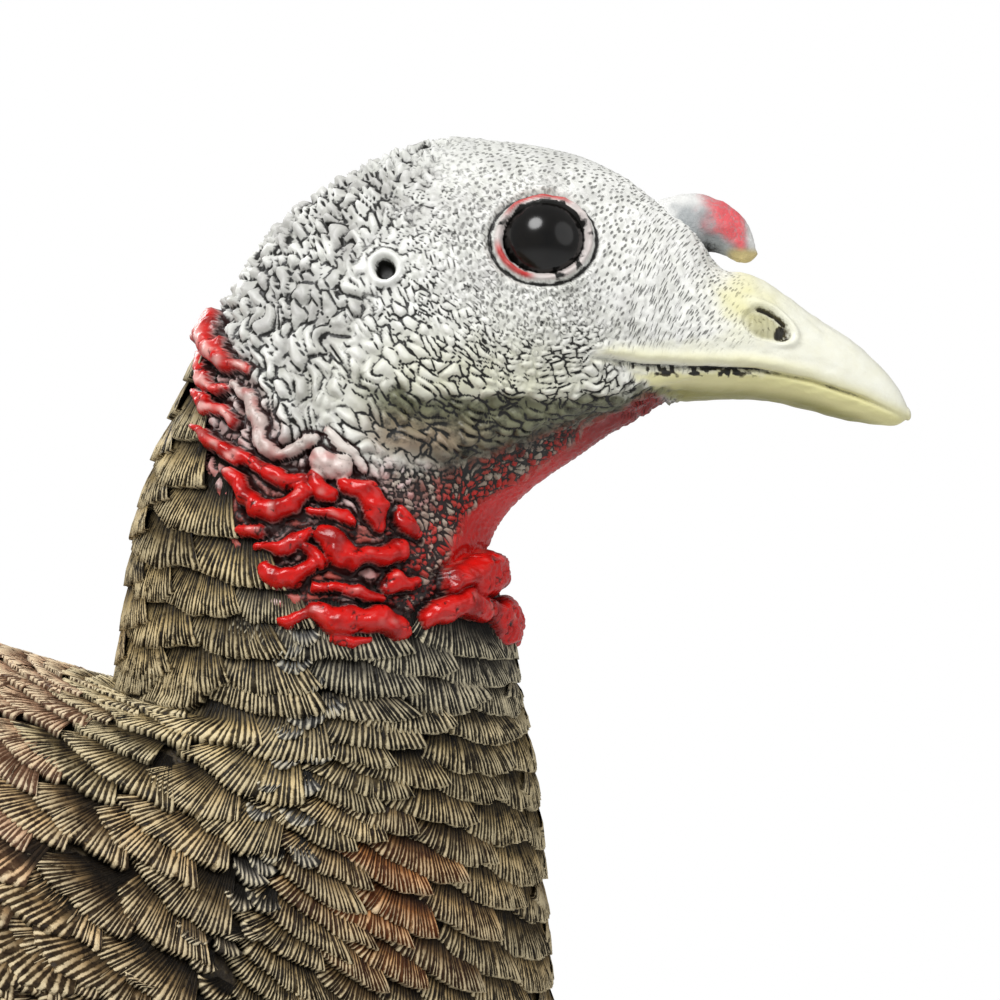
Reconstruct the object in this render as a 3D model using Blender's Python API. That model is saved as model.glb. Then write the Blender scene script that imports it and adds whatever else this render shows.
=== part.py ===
"""Turkey decoy: a hollow moulded hen with a removable head, on a two-piece ground stake.

Frame: +Z up, +X forward (the way the bill points), +Y to the bird's left. The origin is on the
stake's axis at ground level, which is the underside of the foot step.
"""

import math

import bmesh
import bpy
from mathutils import Matrix, Vector

MM = 0.001
GAP = 0.3  # between touching pieces, in mm

# ---- Driving dimensions, in mm -------------------------------------------------------------

# One loft makes the head, the neck and the body. Each station is a slice of the bird between a
# point on its upper outline and one on its lower outline: (upper x, upper z, lower x, lower z,
# half width, bias). A bias above 0 puts the widest place above the middle of the slice.
HEAD_STATIONS = (
    (244.3, 467.8, 244.0, 465.4, 1.3, 0.0),
    (242.6, 471.2, 242.0, 464.4, 2.6, 0.0),
    (239.4, 475.1, 238.4, 464.6, 4.0, 0.0),
    (234.0, 479.4, 232.2, 465.6, 5.6, 0.0),
    (228.6, 482.7, 226.0, 467.3, 6.9, -0.05),
    (222.4, 487.3, 219.0, 468.8, 8.3, -0.1),
    (217.0, 490.8, 212.0, 469.1, 9.6, -0.1),
    (211.6, 493.6, 205.5, 468.8, 11.2, -0.1),
    (205.5, 498.5, 199.8, 468.1, 13.2, -0.05),
    (199.5, 504.0, 195.0, 465.2, 15.4, 0.0),
    (193.5, 508.8, 190.0, 462.4, 17.2, 0.0),
    (186.5, 512.4, 185.4, 459.1, 18.6, 0.0),
    (179.0, 514.4, 181.3, 456.4, 19.6, 0.0),
    (171.0, 515.5, 177.4, 453.6, 20.2, -0.05),
    (162.5, 516.2, 174.0, 450.6, 20.6, -0.05),
    (154.0, 514.4, 171.6, 447.8, 21.0, -0.05),
    (146.0, 510.9, 170.0, 445.2, 21.6, 0.0),
    (138.0, 506.3, 169.1, 442.8, 22.2, 0.0),
    (130.8, 500.4, 168.9, 440.6, 23.0, 0.0),
    (125.0, 492.6, 169.2, 438.6, 23.8, 0.0),
    (119.8, 484.2, 170.0, 436.6, 24.8, 0.0),
    (116.0, 475.4, 171.0, 434.4, 25.8, 0.0),
    (112.6, 466.6, 172.0, 431.6, 26.8, 0.0),
    (108.8, 457.8, 172.8, 428.6, 27.8, 0.0),
    (106.2, 449.0, 173.0, 425.4, 28.6, 0.0),
    (104.4, 440.0, 173.3, 422.2, 29.4, 0.0),
    (103.4, 431.0, 173.8, 418.6, 30.2, 0.0),
)
SEAM_STATION = (102.6, 422.6, 174.4, 415.0, 31.0, 0.0)
BODY_STATIONS = (
    (101.2, 417.0, 176.0, 407.0, 31.8, 0.0),
    (97.0, 418.8, 177.6, 395.0, 33.2, 0.05),
    (90.0, 421.4, 178.8, 379.0, 35.8, 0.1),
    (80.0, 424.6, 180.0, 359.0, 40.5, 0.15),
    (66.0, 428.4, 182.0, 334.0, 49.0, 0.2),
    (48.0, 431.8, 184.0, 305.0, 61.0, 0.2),
    (28.0, 433.4, 182.0, 277.0, 75.0, 0.2),
    (4.0, 432.6, 170.0, 251.0, 88.0, 0.15),
    (-22.0, 428.6, 146.0, 234.0, 98.0, 0.15),
    (-55.0, 420.2, 112.0, 226.0, 105.0, 0.15),
    (-90.0, 408.6, 72.0, 223.6, 107.0, 0.15),
    (-128.0, 393.6, 24.0, 223.6, 105.0, 0.15),
    (-168.0, 375.6, -32.0, 226.4, 99.0, 0.15),
    (-207.0, 356.2, -96.0, 234.0, 89.0, 0.15),
    (-243.0, 336.6, -158.0, 245.4, 75.0, 0.1),
    (-273.0, 319.4, -211.0, 257.0, 58.0, 0.05),
    (-295.0, 306.0, -254.0, 266.4, 41.0, 0.0),
    (-308.0, 296.4, -284.0, 274.0, 24.0, 0.0),
    (-312.0, 289.2, -300.0, 279.8, 10.0, 0.0),
)
WALL = 3.0  # of the moulded shells

# Head joint. Heights are along the seam's axis, from the seam, up towards the head.
SEAM_POCKET = 5.0
SEAM_LIP = 9.0
COLLAR_TUBE_R = 23.5
COLLAR_BORE_R = 20.5
COLLAR_DEPTH = 26.0
PLUG_R = 19.9
PLUG_BORE_R = 16.0
PLUG_DEPTH = 24.0
RING_HEIGHT = -12.0
RING_R = 21.1
RING_WIRE_R = 0.95
FLANGE_SCREW_R = 28.2
FLANGE_SCREW_DEG = (25.0, 155.0, 205.0, 335.0)

# Stake
ROD_R = 4.75
STAKE_TIP = -200.0
STAKE_POINT = 28.0
STAKE_SPLIT = 90.0
STAKE_TOP = 410.0
FERRULE_R = 7.5
FERRULE_HALF = 32.0
FERRULE_PIN_R = 1.5
STEP_WIDTH = 34.0
STEP_REAR = 62.0
STEP_FRONT = 17.0
STEP_THICK = 4.0
STEP_SLEEVE_R = 9.0
STEP_SLEEVE_TOP = 18.0

# Swivel
PAD_BOTTOM = 222.0
PAD_TOP = 231.5
PAD_R = 36.0
FLANGE_R = 30.0
FLANGE_THICK = 10.0
BARREL_R = 14.7
BARREL_TOP = 244.0
BUSH_BORE_R = 5.25
NUT_R = 22.0
NUT_THICK = 7.5
TUBE_R = 7.5
TUBE_BORE_R = 5.5
TUBE_SOCKET_DEPTH = 8.0
TUBE_TOP = 412.0
CROWN_TOP = 417.7
CROWN_BOTTOM = 403.0
CROWN_R = 14.0
CROWN_BOSS_R = 18.0
WASHER_R = 12.5
WASHER_THICK = 2.0
CLAMP_R = 12.0
CLAMP_THICK = 13.0
STOP_R = 17.0
STOP_POST_R = 2.5
STOP_HEIGHT = 8.1
STOP_ANGLE = 40.0  # the body turns this far each way
THUMBSCREW_R = 2.5
THUMBSCREW_HEAD_R = 8.0

# Eyes and snood
EYE_AT = (178.6, 14.6, 496.5)
EYE_R = 7.6
EYE_STEM_R = 2.4
EYE_STEM_END = 3.0
EAR_AT = (150.8, 491.5)
EAR_R = 2.0
SNOOD_POINTS = (
    # x, z, radius: a thick lobe that leans forward over the bill and narrows to a tip
    (197.4, 496.0, 2.6),
    (199.4, 497.6, 4.6),
    (203.0, 499.6, 5.5),
    (207.5, 500.0, 5.1),
    (211.2, 498.8, 4.3),
    (213.7, 496.9, 3.3),
    (215.2, 495.1, 2.1),
    (215.8, 493.9, 1.0),
)

# Tail
TAIL_ROOT = (-303.0, 286.0)
TAIL_DROP_DEG = 17.0
TAIL_LENGTH = 215.0
TAIL_ROOT_HALF = 33.0
TAIL_TIP_HALF = 72.0
TAIL_THICK = 6.0
TAIL_ARCH = 9.0
TONGUE_LENGTH = 30.0
TONGUE_HALF = 20.0
TONGUE_THICK = 5.0
TAIL_SCREW_Y = 11.0
TAIL_SCREW_INSET = 15.0


# ---- Materials -----------------------------------------------------------------------------


def material(name, colour, roughness, metallic=0.0):
    made = bpy.data.materials.new(name)
    made.use_nodes = True
    shader = made.node_tree.nodes["Principled BSDF"]
    shader.inputs["Base Color"].default_value = (*colour, 1.0)
    shader.inputs["Roughness"].default_value = roughness
    shader.inputs["Metallic"].default_value = metallic
    return made


def make_materials():
    return {
        "body_foam": material("body_foam", (0.20, 0.14, 0.08), 0.6),
        "head_foam": material("head_foam", (0.75, 0.76, 0.70), 0.5),
        "eye_glass": material("eye_glass", (0.01, 0.01, 0.01), 0.05),
        "snood_rubber": material("snood_rubber", (0.55, 0.56, 0.56), 0.45),
        "tail_foam": material("tail_foam", (0.22, 0.13, 0.07), 0.6),
        "black_plastic": material("black_plastic", (0.03, 0.03, 0.03), 0.45),
        "white_nylon": material("white_nylon", (0.78, 0.77, 0.72), 0.4),
        "seal_rubber": material("seal_rubber", (0.02, 0.02, 0.02), 0.75),
        "stake_steel": material("stake_steel", (0.16, 0.17, 0.15), 0.4, 0.9),
        "bright_steel": material("bright_steel", (0.62, 0.62, 0.60), 0.28, 1.0),
    }


# ---- Making and placing objects ------------------------------------------------------------


def clear_scene():
    for old in list(bpy.data.objects):
        bpy.data.objects.remove(old)


def new_object(name, shape, finish=None, smooth_deg=35.0):
    """An object from a bmesh given in mm."""
    bmesh.ops.scale(shape, vec=(MM, MM, MM), verts=shape.verts)
    bmesh.ops.recalc_face_normals(shape, faces=shape.faces)
    mesh = bpy.data.meshes.new(name)
    shape.to_mesh(mesh)
    shape.free()
    mesh.shade_smooth()
    mesh.set_sharp_from_angle(angle=math.radians(smooth_deg))
    made = bpy.data.objects.new(name, mesh)
    bpy.context.scene.collection.objects.link(made)
    if finish is not None:
        mesh.materials.append(finish)
    return made


def as_helper(made):
    """A cutter or a filler: it shapes another object and isn't a part."""
    made.hide_render = True
    made.display_type = "WIRE"
    return made


def combine(target, helper, operation="DIFFERENCE"):
    as_helper(helper)
    change = target.modifiers.new(helper.name, "BOOLEAN")
    change.operation = operation
    change.solver = "EXACT"
    change.object = helper
    return target


def pivot(name, location_mm, rotation, parent=None):
    """The empty that stands on a joint's axis and carries that joint's pieces."""
    made = bpy.data.objects.new(name, None)
    bpy.context.scene.collection.objects.link(made)
    made.matrix_world = Matrix.Translation(Vector(location_mm) * MM) @ rotation
    if parent is not None:
        keep_parent(made, parent)
    return made


def keep_parent(made, parent):
    """Parents an object without moving it."""
    bpy.context.view_layer.update()
    world = made.matrix_world.copy()
    made.parent = parent
    made.matrix_parent_inverse = parent.matrix_world.inverted()
    made.matrix_world = world
    return made


def put(made, location_mm, rotation=None):
    turn = Matrix.Identity(4) if rotation is None else rotation
    made.matrix_world = Matrix.Translation(Vector(location_mm) * MM) @ turn
    return made


# ---- Shapes --------------------------------------------------------------------------------


def turned(profile, segments=32, ring=False):
    """A profile of (radius, height) points spun about Z. ring: the profile closes on itself."""
    shape = bmesh.new()
    verts = [shape.verts.new((r, 0.0, z)) for r, z in profile]
    pairs = list(zip(verts, verts[1:]))
    if ring:
        pairs.append((verts[-1], verts[0]))
    edges = [shape.edges.new(pair) for pair in pairs]
    bmesh.ops.spin(
        shape,
        geom=verts + edges,
        cent=(0, 0, 0),
        axis=(0, 0, 1),
        angle=math.tau,
        steps=segments,
        use_merge=True,
    )
    bmesh.ops.remove_doubles(shape, verts=shape.verts, dist=0.001)
    return shape


def prism(outline, bottom, top):
    """A flat outline of (x, y) points, extruded from one height to another."""
    shape = bmesh.new()
    face = shape.faces.new([shape.verts.new((x, y, bottom)) for x, y in outline])
    raised = bmesh.ops.extrude_face_region(shape, geom=[face])["geom"]
    tops = [g for g in raised if isinstance(g, bmesh.types.BMVert)]
    bmesh.ops.translate(shape, vec=(0, 0, top - bottom), verts=tops)
    return shape


def disc_outline(radius_x, radius_y, segments=48):
    turns = [math.tau * i / segments for i in range(segments)]
    return [(radius_x * math.cos(a), radius_y * math.sin(a)) for a in turns]


def rod(radius, bottom, top, segments=24):
    return turned([(0, bottom), (radius, bottom), (radius, top), (0, top)], segments)


def tube(outer, inner, bottom, top, segments=32):
    wall = [(inner, bottom), (outer, bottom), (outer, top), (inner, top)]
    return turned(wall, segments, ring=True)


def arc_block(inner, outer, half_angle_deg, bottom, top, steps=16):
    """A block that follows an arc about Z, centred on +X."""
    half = math.radians(half_angle_deg)
    turns = [half * (2 * i / steps - 1) for i in range(steps + 1)]
    outside = [(outer * math.cos(a), outer * math.sin(a)) for a in turns]
    inside = [(inner * math.cos(a), inner * math.sin(a)) for a in reversed(turns)]
    return prism(outside + inside, bottom, top)


# ---- The bird's loft -----------------------------------------------------------------------


def catmull_rom(a, b, c, d, t):
    return tuple(
        0.5 * (2 * q + (r - p) * t + (2 * p - 5 * q + 4 * r - s) * t**2 + (3 * q - p - 3 * r + s) * t**3)
        for p, q, r, s in zip(a, b, c, d)
    )


def between(stations, per_gap):
    """The stations with smooth ones added between them."""
    ends = [stations[0], *stations, stations[-1]]
    found = []
    for i in range(len(stations) - 1):
        found += [catmull_rom(*ends[i : i + 4], k / per_gap) for k in range(per_gap)]
    return [*found, stations[-1]]


def slice_points(station, around, inset=0.0):
    """The points round one slice, from its upper end down the bird's left side and back up."""
    upper, lower = Vector(station[0:2]), Vector(station[2:4])
    half_width, bias = station[4] - inset, station[5]
    middle = (upper + lower) / 2
    reach = (upper - lower) / 2
    reach *= 1 - inset / reach.length
    points = []
    for i in range(around):
        turn = math.tau * i / around
        side = half_width * math.sin(turn) * (1 + bias * math.cos(turn))
        place = middle + reach * math.cos(turn)
        points.append((place.x, side, place.y))
    return points


def inner_rings(stations, around, wall):
    """The slices of a hollow that leaves a wall of one thickness, measured square to the skin."""
    rings = [[Vector(p) for p in slice_points(s, around)] for s in stations]
    last = len(rings) - 1
    moved = []
    for i, ring in enumerate(rings):
        middle = sum(ring, Vector()) / around
        inside = []
        for j, place in enumerate(ring):
            along = rings[min(i + 1, last)][j] - rings[max(i - 1, 0)][j]
            across = ring[(j + 1) % around] - ring[j - 1]
            normal = along.cross(across).normalized()
            if normal.dot(place - middle) < 0:
                normal.negate()
            inside.append(tuple(place - normal * wall))
        moved.append(inside)
    return moved


def skin_rings(shape, rings):
    """Closed rings of points joined in order, with both ends capped."""
    loops = [[shape.verts.new(p) for p in ring] for ring in rings]
    for first, second in zip(loops, loops[1:]):
        count = len(first)
        for i in range(count):
            j = (i + 1) % count
            shape.faces.new((first[i], first[j], second[j], second[i]))
    shape.faces.new(loops[0])
    shape.faces.new(loops[-1])


def loft(stations, around, per_gap, inset=0.0):
    shape = bmesh.new()
    skin_rings(shape, [slice_points(s, around, inset) for s in between(stations, per_gap)])
    return shape


# ---- The seam between head and body --------------------------------------------------------


def seam_frame():
    """(middle in mm, rotation): local Z runs up the head joint's axis and local Y is the bird's left."""
    upper, lower = Vector(SEAM_STATION[0:2]), Vector(SEAM_STATION[2:4])
    middle = (upper + lower) / 2
    forward = (lower - upper).normalized()
    along = Vector((forward.x, 0, forward.y))
    axis = along.cross(Vector((0, 1, 0))).normalized()
    rotation = Matrix((along, Vector((0, 1, 0)), axis)).transposed().to_4x4()
    return (middle.x, 0.0, middle.y), rotation


def seam_oval(inset):
    """The seam's outline in its own frame, drawn in."""
    upper, lower = Vector(SEAM_STATION[0:2]), Vector(SEAM_STATION[2:4])
    return disc_outline((lower - upper).length / 2 - inset, SEAM_STATION[4] - inset)


def seam_cavity_ring(height, inset, around):
    """A ring of world points on a plane parallel to the seam."""
    place, rotation = seam_frame()
    half_long = (Vector(SEAM_STATION[0:2]) - Vector(SEAM_STATION[2:4])).length / 2 - inset
    half_wide = SEAM_STATION[4] - inset
    points = []
    for i in range(around):
        turn = math.tau * i / around
        local = Vector((-half_long * math.cos(turn), half_wide * math.sin(turn), height))
        points.append(tuple(Vector(place) + rotation.to_3x3() @ local))
    return points


def flange_screw_places():
    turns = [math.radians(deg) for deg in FLANGE_SCREW_DEG]
    return [(FLANGE_SCREW_R * math.cos(a), FLANGE_SCREW_R * math.sin(a)) for a in turns]


# ---- Fasteners -----------------------------------------------------------------------------


def socket_screw(name, length, finish, head_r=2.75, head_height=2.0, shank_r=1.5):
    """A flat-headed socket screw, head up at height 0, shank down."""
    socket_r, socket_depth = head_r * 0.5, head_height * 0.6
    point = shank_r * 0.8
    profile = [
        (0, -socket_depth),
        (socket_r, -socket_depth),
        (socket_r, 0),
        (head_r - 0.3, 0),
        (head_r, -0.3),
        (head_r, -head_height),
        (shank_r, -head_height),
        (shank_r, point - length),
        (0.4, -length),
        (0, -length),
    ]
    return new_object(name, turned(profile, 12), finish)


def screw_hole(name, length, head_r=2.75, head_height=2.0, shank_r=1.5):
    """What a socket_screw's hole takes out, with the gap all round."""
    profile = [
        (0, 10.0),
        (head_r + GAP, 10.0),
        (head_r + GAP, -head_height - GAP),
        (shank_r + GAP, -head_height - GAP),
        (shank_r + GAP, -length - GAP),
        (0, -length - GAP),
    ]
    return new_object(name, turned(profile, 12))


# ---- Stake ---------------------------------------------------------------------------------


def make_stake(finishes, base, top):
    steel = finishes["stake_steel"]
    lower = turned(
        [
            (0, STAKE_TIP),
            (1.0, STAKE_TIP + 2.0),
            (ROD_R, STAKE_TIP + STAKE_POINT),
            (ROD_R, STAKE_SPLIT - GAP / 2 - 0.8),
            (ROD_R - 0.8, STAKE_SPLIT - GAP / 2),
            (0, STAKE_SPLIT - GAP / 2),
        ],
        24,
    )
    stake_lower = keep_parent(new_object("stake_lower", lower, steel), base)

    upper = turned(
        [
            (0, STAKE_SPLIT + GAP / 2),
            (ROD_R - 0.8, STAKE_SPLIT + GAP / 2),
            (ROD_R, STAKE_SPLIT + GAP / 2 + 0.8),
            (ROD_R, STAKE_TOP - 4.0),
            (ROD_R * 0.8, STAKE_TOP - 1.4),
            (ROD_R * 0.45, STAKE_TOP - 0.3),
            (0, STAKE_TOP),
        ],
        24,
    )
    keep_parent(new_object("stake_upper", upper, steel), top)

    bore = ROD_R + GAP
    half = FERRULE_HALF
    ferrule = turned(
        [
            (bore, -half),
            (FERRULE_R - 0.8, -half),
            (FERRULE_R, -half + 0.8),
            (FERRULE_R, half - 0.8),
            (FERRULE_R - 0.8, half),
            (bore + 0.5, half),
            (bore, half - 0.5),
        ],
        24,
        ring=True,
    )
    stake_ferrule = new_object("stake_ferrule", ferrule, finishes["bright_steel"])
    put(stake_ferrule, (0, 0, STAKE_SPLIT))

    pin_height = STAKE_SPLIT - half / 2
    across = Matrix.Rotation(math.pi / 2, 4, "X")
    pin_end = FERRULE_R - 0.2
    pin = new_object("ferrule_pin", rod(FERRULE_PIN_R, -pin_end, pin_end, 12), finishes["bright_steel"])
    put(pin, (0, 0, pin_height), across)
    hole = new_object("pin_hole", rod(FERRULE_PIN_R + GAP, -12.0, 12.0, 12))
    put(hole, (0, 0, pin_height), across)
    combine(stake_lower, hole)
    combine(stake_ferrule, hole)
    keep_parent(stake_ferrule, base)
    keep_parent(pin, base)

    rounded = []
    corner = 8.0
    for x, y, start in (
        (STEP_FRONT - corner, STEP_WIDTH / 2 - corner, 0),
        (corner - STEP_REAR, STEP_WIDTH / 2 - corner, 90),
        (corner - STEP_REAR, corner - STEP_WIDTH / 2, 180),
        (STEP_FRONT - corner, corner - STEP_WIDTH / 2, 270),
    ):
        for k in range(5):
            a = math.radians(start + 22.5 * k)
            rounded.append((x + corner * math.cos(a), y + corner * math.sin(a)))
    step = new_object("foot_step", prism(rounded, 0.0, STEP_THICK), steel)
    sleeve = new_object("step_sleeve", rod(STEP_SLEEVE_R, 1.0, STEP_SLEEVE_TOP, 24))
    combine(step, sleeve, "UNION")
    combine(step, new_object("step_bore", rod(ROD_R + GAP, -5.0, STEP_SLEEVE_TOP + 5.0)))
    for i in range(3):
        groove = new_object(f"tread_groove_{i}", prism([(-2, -13), (2, -13), (2, 13), (-2, 13)], 0.0, 4.0))
        put(groove, (-STEP_REAR + 12.0 + 11.0 * i, 0, STEP_THICK - 1.0))
        combine(step, groove)
    keep_parent(step, base)


def make_swivel(finishes, top, screw_body, washer_body):
    flange_bottom = PAD_BOTTOM - GAP - FLANGE_THICK
    washer_top = flange_bottom - GAP
    clamp_top = washer_top - WASHER_THICK - GAP
    washer = tube(WASHER_R, ROD_R + GAP, washer_top - WASHER_THICK, washer_top, 32)
    keep_parent(new_object("thrust_washer", washer, finishes["white_nylon"]), washer_body)

    bore = ROD_R + GAP
    ring = turned(
        [
            (bore, clamp_top - CLAMP_THICK),
            (CLAMP_R - 1.0, clamp_top - CLAMP_THICK),
            (CLAMP_R, clamp_top - CLAMP_THICK + 1.0),
            (CLAMP_R, clamp_top - 1.0),
            (CLAMP_R - 1.0, clamp_top),
            (bore, clamp_top),
        ],
        32,
        ring=True,
    )
    collar = new_object("stop_collar", ring, finishes["black_plastic"])
    reach = STOP_R + STOP_POST_R + 1.5
    near, nose = bore + 2.0, reach - 3.0
    arm = [(near, -4.5), (nose, -4.5), (reach, -2.0), (reach, 2.0), (nose, 4.5), (near, 4.5)]
    combine(collar, new_object("stop_arm", prism(arm, clamp_top - 9.0, clamp_top - 0.5)), "UNION")
    post = new_object("stop_post", rod(STOP_POST_R, clamp_top - 5.0, clamp_top + STOP_HEIGHT, 16))
    put(post, (STOP_R, 0, 0))
    combine(collar, post, "UNION")

    screw_height = clamp_top - CLAMP_THICK / 2
    to_rear = Matrix.Rotation(-math.pi / 2, 4, "Y")
    head_at = CLAMP_R + 3.0
    hole = new_object("thumbscrew_hole", rod(THUMBSCREW_R + GAP, bore - 1.0, CLAMP_R + 5.0, 16))
    put(hole, (0, 0, screw_height), to_rear)
    combine(collar, hole)
    keep_parent(collar, top)

    profile = [
        (0, bore),
        (THUMBSCREW_R - 0.6, bore),
        (THUMBSCREW_R, bore + 0.6),
        (THUMBSCREW_R, head_at),
        (THUMBSCREW_HEAD_R - 1.0, head_at),
        (THUMBSCREW_HEAD_R, head_at + 1.0),
        (THUMBSCREW_HEAD_R, head_at + 6.0),
        (THUMBSCREW_HEAD_R - 1.0, head_at + 7.0),
        (THUMBSCREW_HEAD_R * 0.5, head_at + 7.0),
        (THUMBSCREW_HEAD_R * 0.45, head_at + 6.2),
        (0, head_at + 6.2),
    ]
    screw = new_object("collar_thumbscrew", turned(profile, 24), finishes["black_plastic"])
    put(screw, (0, 0, screw_height), to_rear)
    for i in range(8):
        turn = math.tau * (i + 0.5) / 8
        flute = new_object(f"thumbscrew_flute_{i}", rod(1.6, head_at - 2.0, head_at + 10.0, 8))
        spot = Vector((THUMBSCREW_HEAD_R + 0.5, 0, 0))
        spot.rotate(Matrix.Rotation(turn, 3, "Z"))
        flute.matrix_world = screw.matrix_world @ Matrix.Translation(spot * MM)
        combine(screw, flute)
    keep_parent(screw, screw_body)


def make_bushing(finishes, body):
    plastic = finishes["black_plastic"]
    flange_top = PAD_BOTTOM - GAP
    flange_bottom = flange_top - FLANGE_THICK
    socket_bottom = BARREL_TOP - TUBE_SOCKET_DEPTH
    bushing = turned(
        [
            (BUSH_BORE_R, flange_bottom),
            (FLANGE_R - 2.0, flange_bottom),
            (FLANGE_R, flange_bottom + 2.0),
            (FLANGE_R, flange_top),
            (BARREL_R, flange_top),
            (BARREL_R, BARREL_TOP),
            (TUBE_R + GAP, BARREL_TOP),
            (TUBE_R + GAP, socket_bottom),
            (BUSH_BORE_R, socket_bottom),
        ],
        48,
        ring=True,
    )
    made = new_object("belly_bushing", bushing, plastic)
    post_angle = math.degrees(math.asin(STOP_POST_R / STOP_R))
    slot = arc_block(
        STOP_R - STOP_POST_R - 0.9,
        STOP_R + STOP_POST_R + 0.9,
        STOP_ANGLE + post_angle + 1.0,
        flange_bottom - 3.0,
        flange_bottom + 6.5,
    )
    combine(made, new_object("stop_slot", slot))
    keep_parent(made, body)

    nut = new_object("bushing_nut", prism(disc_outline(NUT_R, NUT_R, 6), 0.0, NUT_THICK), plastic)
    put(nut, (0, 0, PAD_TOP + GAP))
    combine(nut, put(new_object("nut_bore", rod(BARREL_R + GAP, -5.0, 15.0, 48)), (0, 0, PAD_TOP + GAP)))
    keep_parent(nut, body)

    guide = tube(TUBE_R, TUBE_BORE_R, socket_bottom + GAP, TUBE_TOP, 24)
    keep_parent(new_object("guide_tube", guide, finishes["white_nylon"]), body)

    crown = turned(
        [
            (0, CROWN_TOP),
            (CROWN_R, CROWN_TOP),
            (CROWN_R, CROWN_BOTTOM + 3.0),
            (CROWN_R - 3.0, CROWN_BOTTOM),
            (TUBE_R + GAP, CROWN_BOTTOM),
            (TUBE_R + GAP, TUBE_TOP + 1.0),
            (0, TUBE_TOP + 1.0),
        ],
        32,
    )
    keep_parent(new_object("crown_cap", crown, plastic), body)


# ---- Body ----------------------------------------------------------------------------------


def tail_frame():
    """(root in mm, rotation): local X runs from the root towards the tail's tip."""
    drop = math.radians(TAIL_DROP_DEG)
    along = Vector((-math.cos(drop), 0, -math.sin(drop)))
    side = Vector((0, -1, 0))
    rotation = Matrix((along, side, along.cross(side))).transposed().to_4x4()
    return (TAIL_ROOT[0], 0.0, TAIL_ROOT[1]), rotation


def make_body_shell(finishes, body):
    outside = (SEAM_STATION, *BODY_STATIONS)
    shell = new_object("body_shell", loft(outside, 40, 2), finishes["body_foam"], 60.0)

    around = 30
    hollow = bmesh.new()
    rings = [seam_cavity_ring(-SEAM_LIP, 4.0, around)]
    rings += inner_rings(BODY_STATIONS, around, WALL)[3:17]
    skin_rings(hollow, rings)
    combine(shell, new_object("body_hollow", hollow))

    pad = new_object("belly_pad", rod(PAD_R, PAD_BOTTOM, PAD_TOP, 40))
    combine(shell, pad, "UNION")
    combine(shell, new_object("belly_hole", rod(BARREL_R + GAP, PAD_BOTTOM - 20.0, PAD_TOP + 20.0, 48)))
    base = CROWN_TOP + GAP
    crest = base + 12.5
    boss = [(0, base), (CROWN_BOSS_R, base), (CROWN_BOSS_R, base + 7.0), (8.0, crest), (0, crest)]
    combine(shell, new_object("crown_boss", turned(boss, 24)), "UNION")

    place, turn = seam_frame()
    pocket = put(new_object("collar_pocket", prism(seam_oval(WALL), -SEAM_POCKET, 10.0)), place, turn)
    combine(shell, pocket)
    bore = put(new_object("collar_hole", rod(COLLAR_TUBE_R + GAP, -40.0, 10.0, 48)), place, turn)
    combine(shell, bore)

    root, lean = tail_frame()
    slot_half, slot_thick = TONGUE_HALF + GAP, TONGUE_THICK / 2 + GAP
    slot_end = -TONGUE_LENGTH - GAP
    slot_outline = [(slot_end, -slot_half), (40, -slot_half), (40, slot_half), (slot_end, slot_half)]
    slot = put(new_object("tongue_slot", prism(slot_outline, -slot_thick, slot_thick)), root, lean)
    combine(shell, slot)
    return keep_parent(shell, body)


def make_neck_collar(finishes, body, shell):
    place, turn = seam_frame()
    flange_top = -GAP
    flange_bottom = GAP - SEAM_POCKET
    flange = prism(seam_oval(WALL + GAP), flange_bottom, flange_top)
    collar = new_object("neck_collar", flange, finishes["black_plastic"])
    put(collar, place, turn)
    stem = new_object("collar_stem", rod(COLLAR_TUBE_R, -COLLAR_DEPTH, flange_bottom + 1.0, 48))
    combine(collar, put(stem, place, turn), "UNION")
    groove = RING_WIRE_R + 0.85
    bore = turned(
        [
            (0, -COLLAR_DEPTH - 5.0),
            (COLLAR_BORE_R, -COLLAR_DEPTH - 5.0),
            (COLLAR_BORE_R, RING_HEIGHT - groove),
            (RING_R + RING_WIRE_R + 0.25, RING_HEIGHT - groove),
            (RING_R + RING_WIRE_R + 0.25, RING_HEIGHT + groove),
            (COLLAR_BORE_R, RING_HEIGHT + groove),
            (COLLAR_BORE_R, flange_top - 1.5),
            (COLLAR_BORE_R + 3.0, flange_top + 1.5),
            (0, flange_top + 1.5),
        ],
        48,
    )
    combine(collar, put(new_object("collar_bore", bore), place, turn))
    for i, (x, y) in enumerate(flange_screw_places()):
        head_seat = Matrix.Translation(Vector((x, y, flange_top)) * MM)
        spot = Matrix.Translation(Vector(place) * MM) @ turn @ head_seat
        hole = screw_hole(f"collar_screw_hole_{i + 1}", 8.0)
        hole.matrix_world = spot
        combine(collar, hole)
        combine(shell, hole)
        screw = socket_screw(f"collar_screw_{i + 1}", 7.4, finishes["bright_steel"])
        screw.matrix_world = spot
        keep_parent(screw, body)
    keep_parent(collar, body)


def make_plug_ring(finishes, ring_body):
    place, turn = seam_frame()
    steps = 8
    turns = [math.tau * k / steps for k in range(steps)]
    profile = [(RING_R + RING_WIRE_R * math.cos(a), RING_HEIGHT + RING_WIRE_R * math.sin(a)) for a in turns]
    ring = new_object("plug_ring", turned(profile, 48, ring=True), finishes["seal_rubber"])
    keep_parent(put(ring, place, turn), ring_body)


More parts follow.
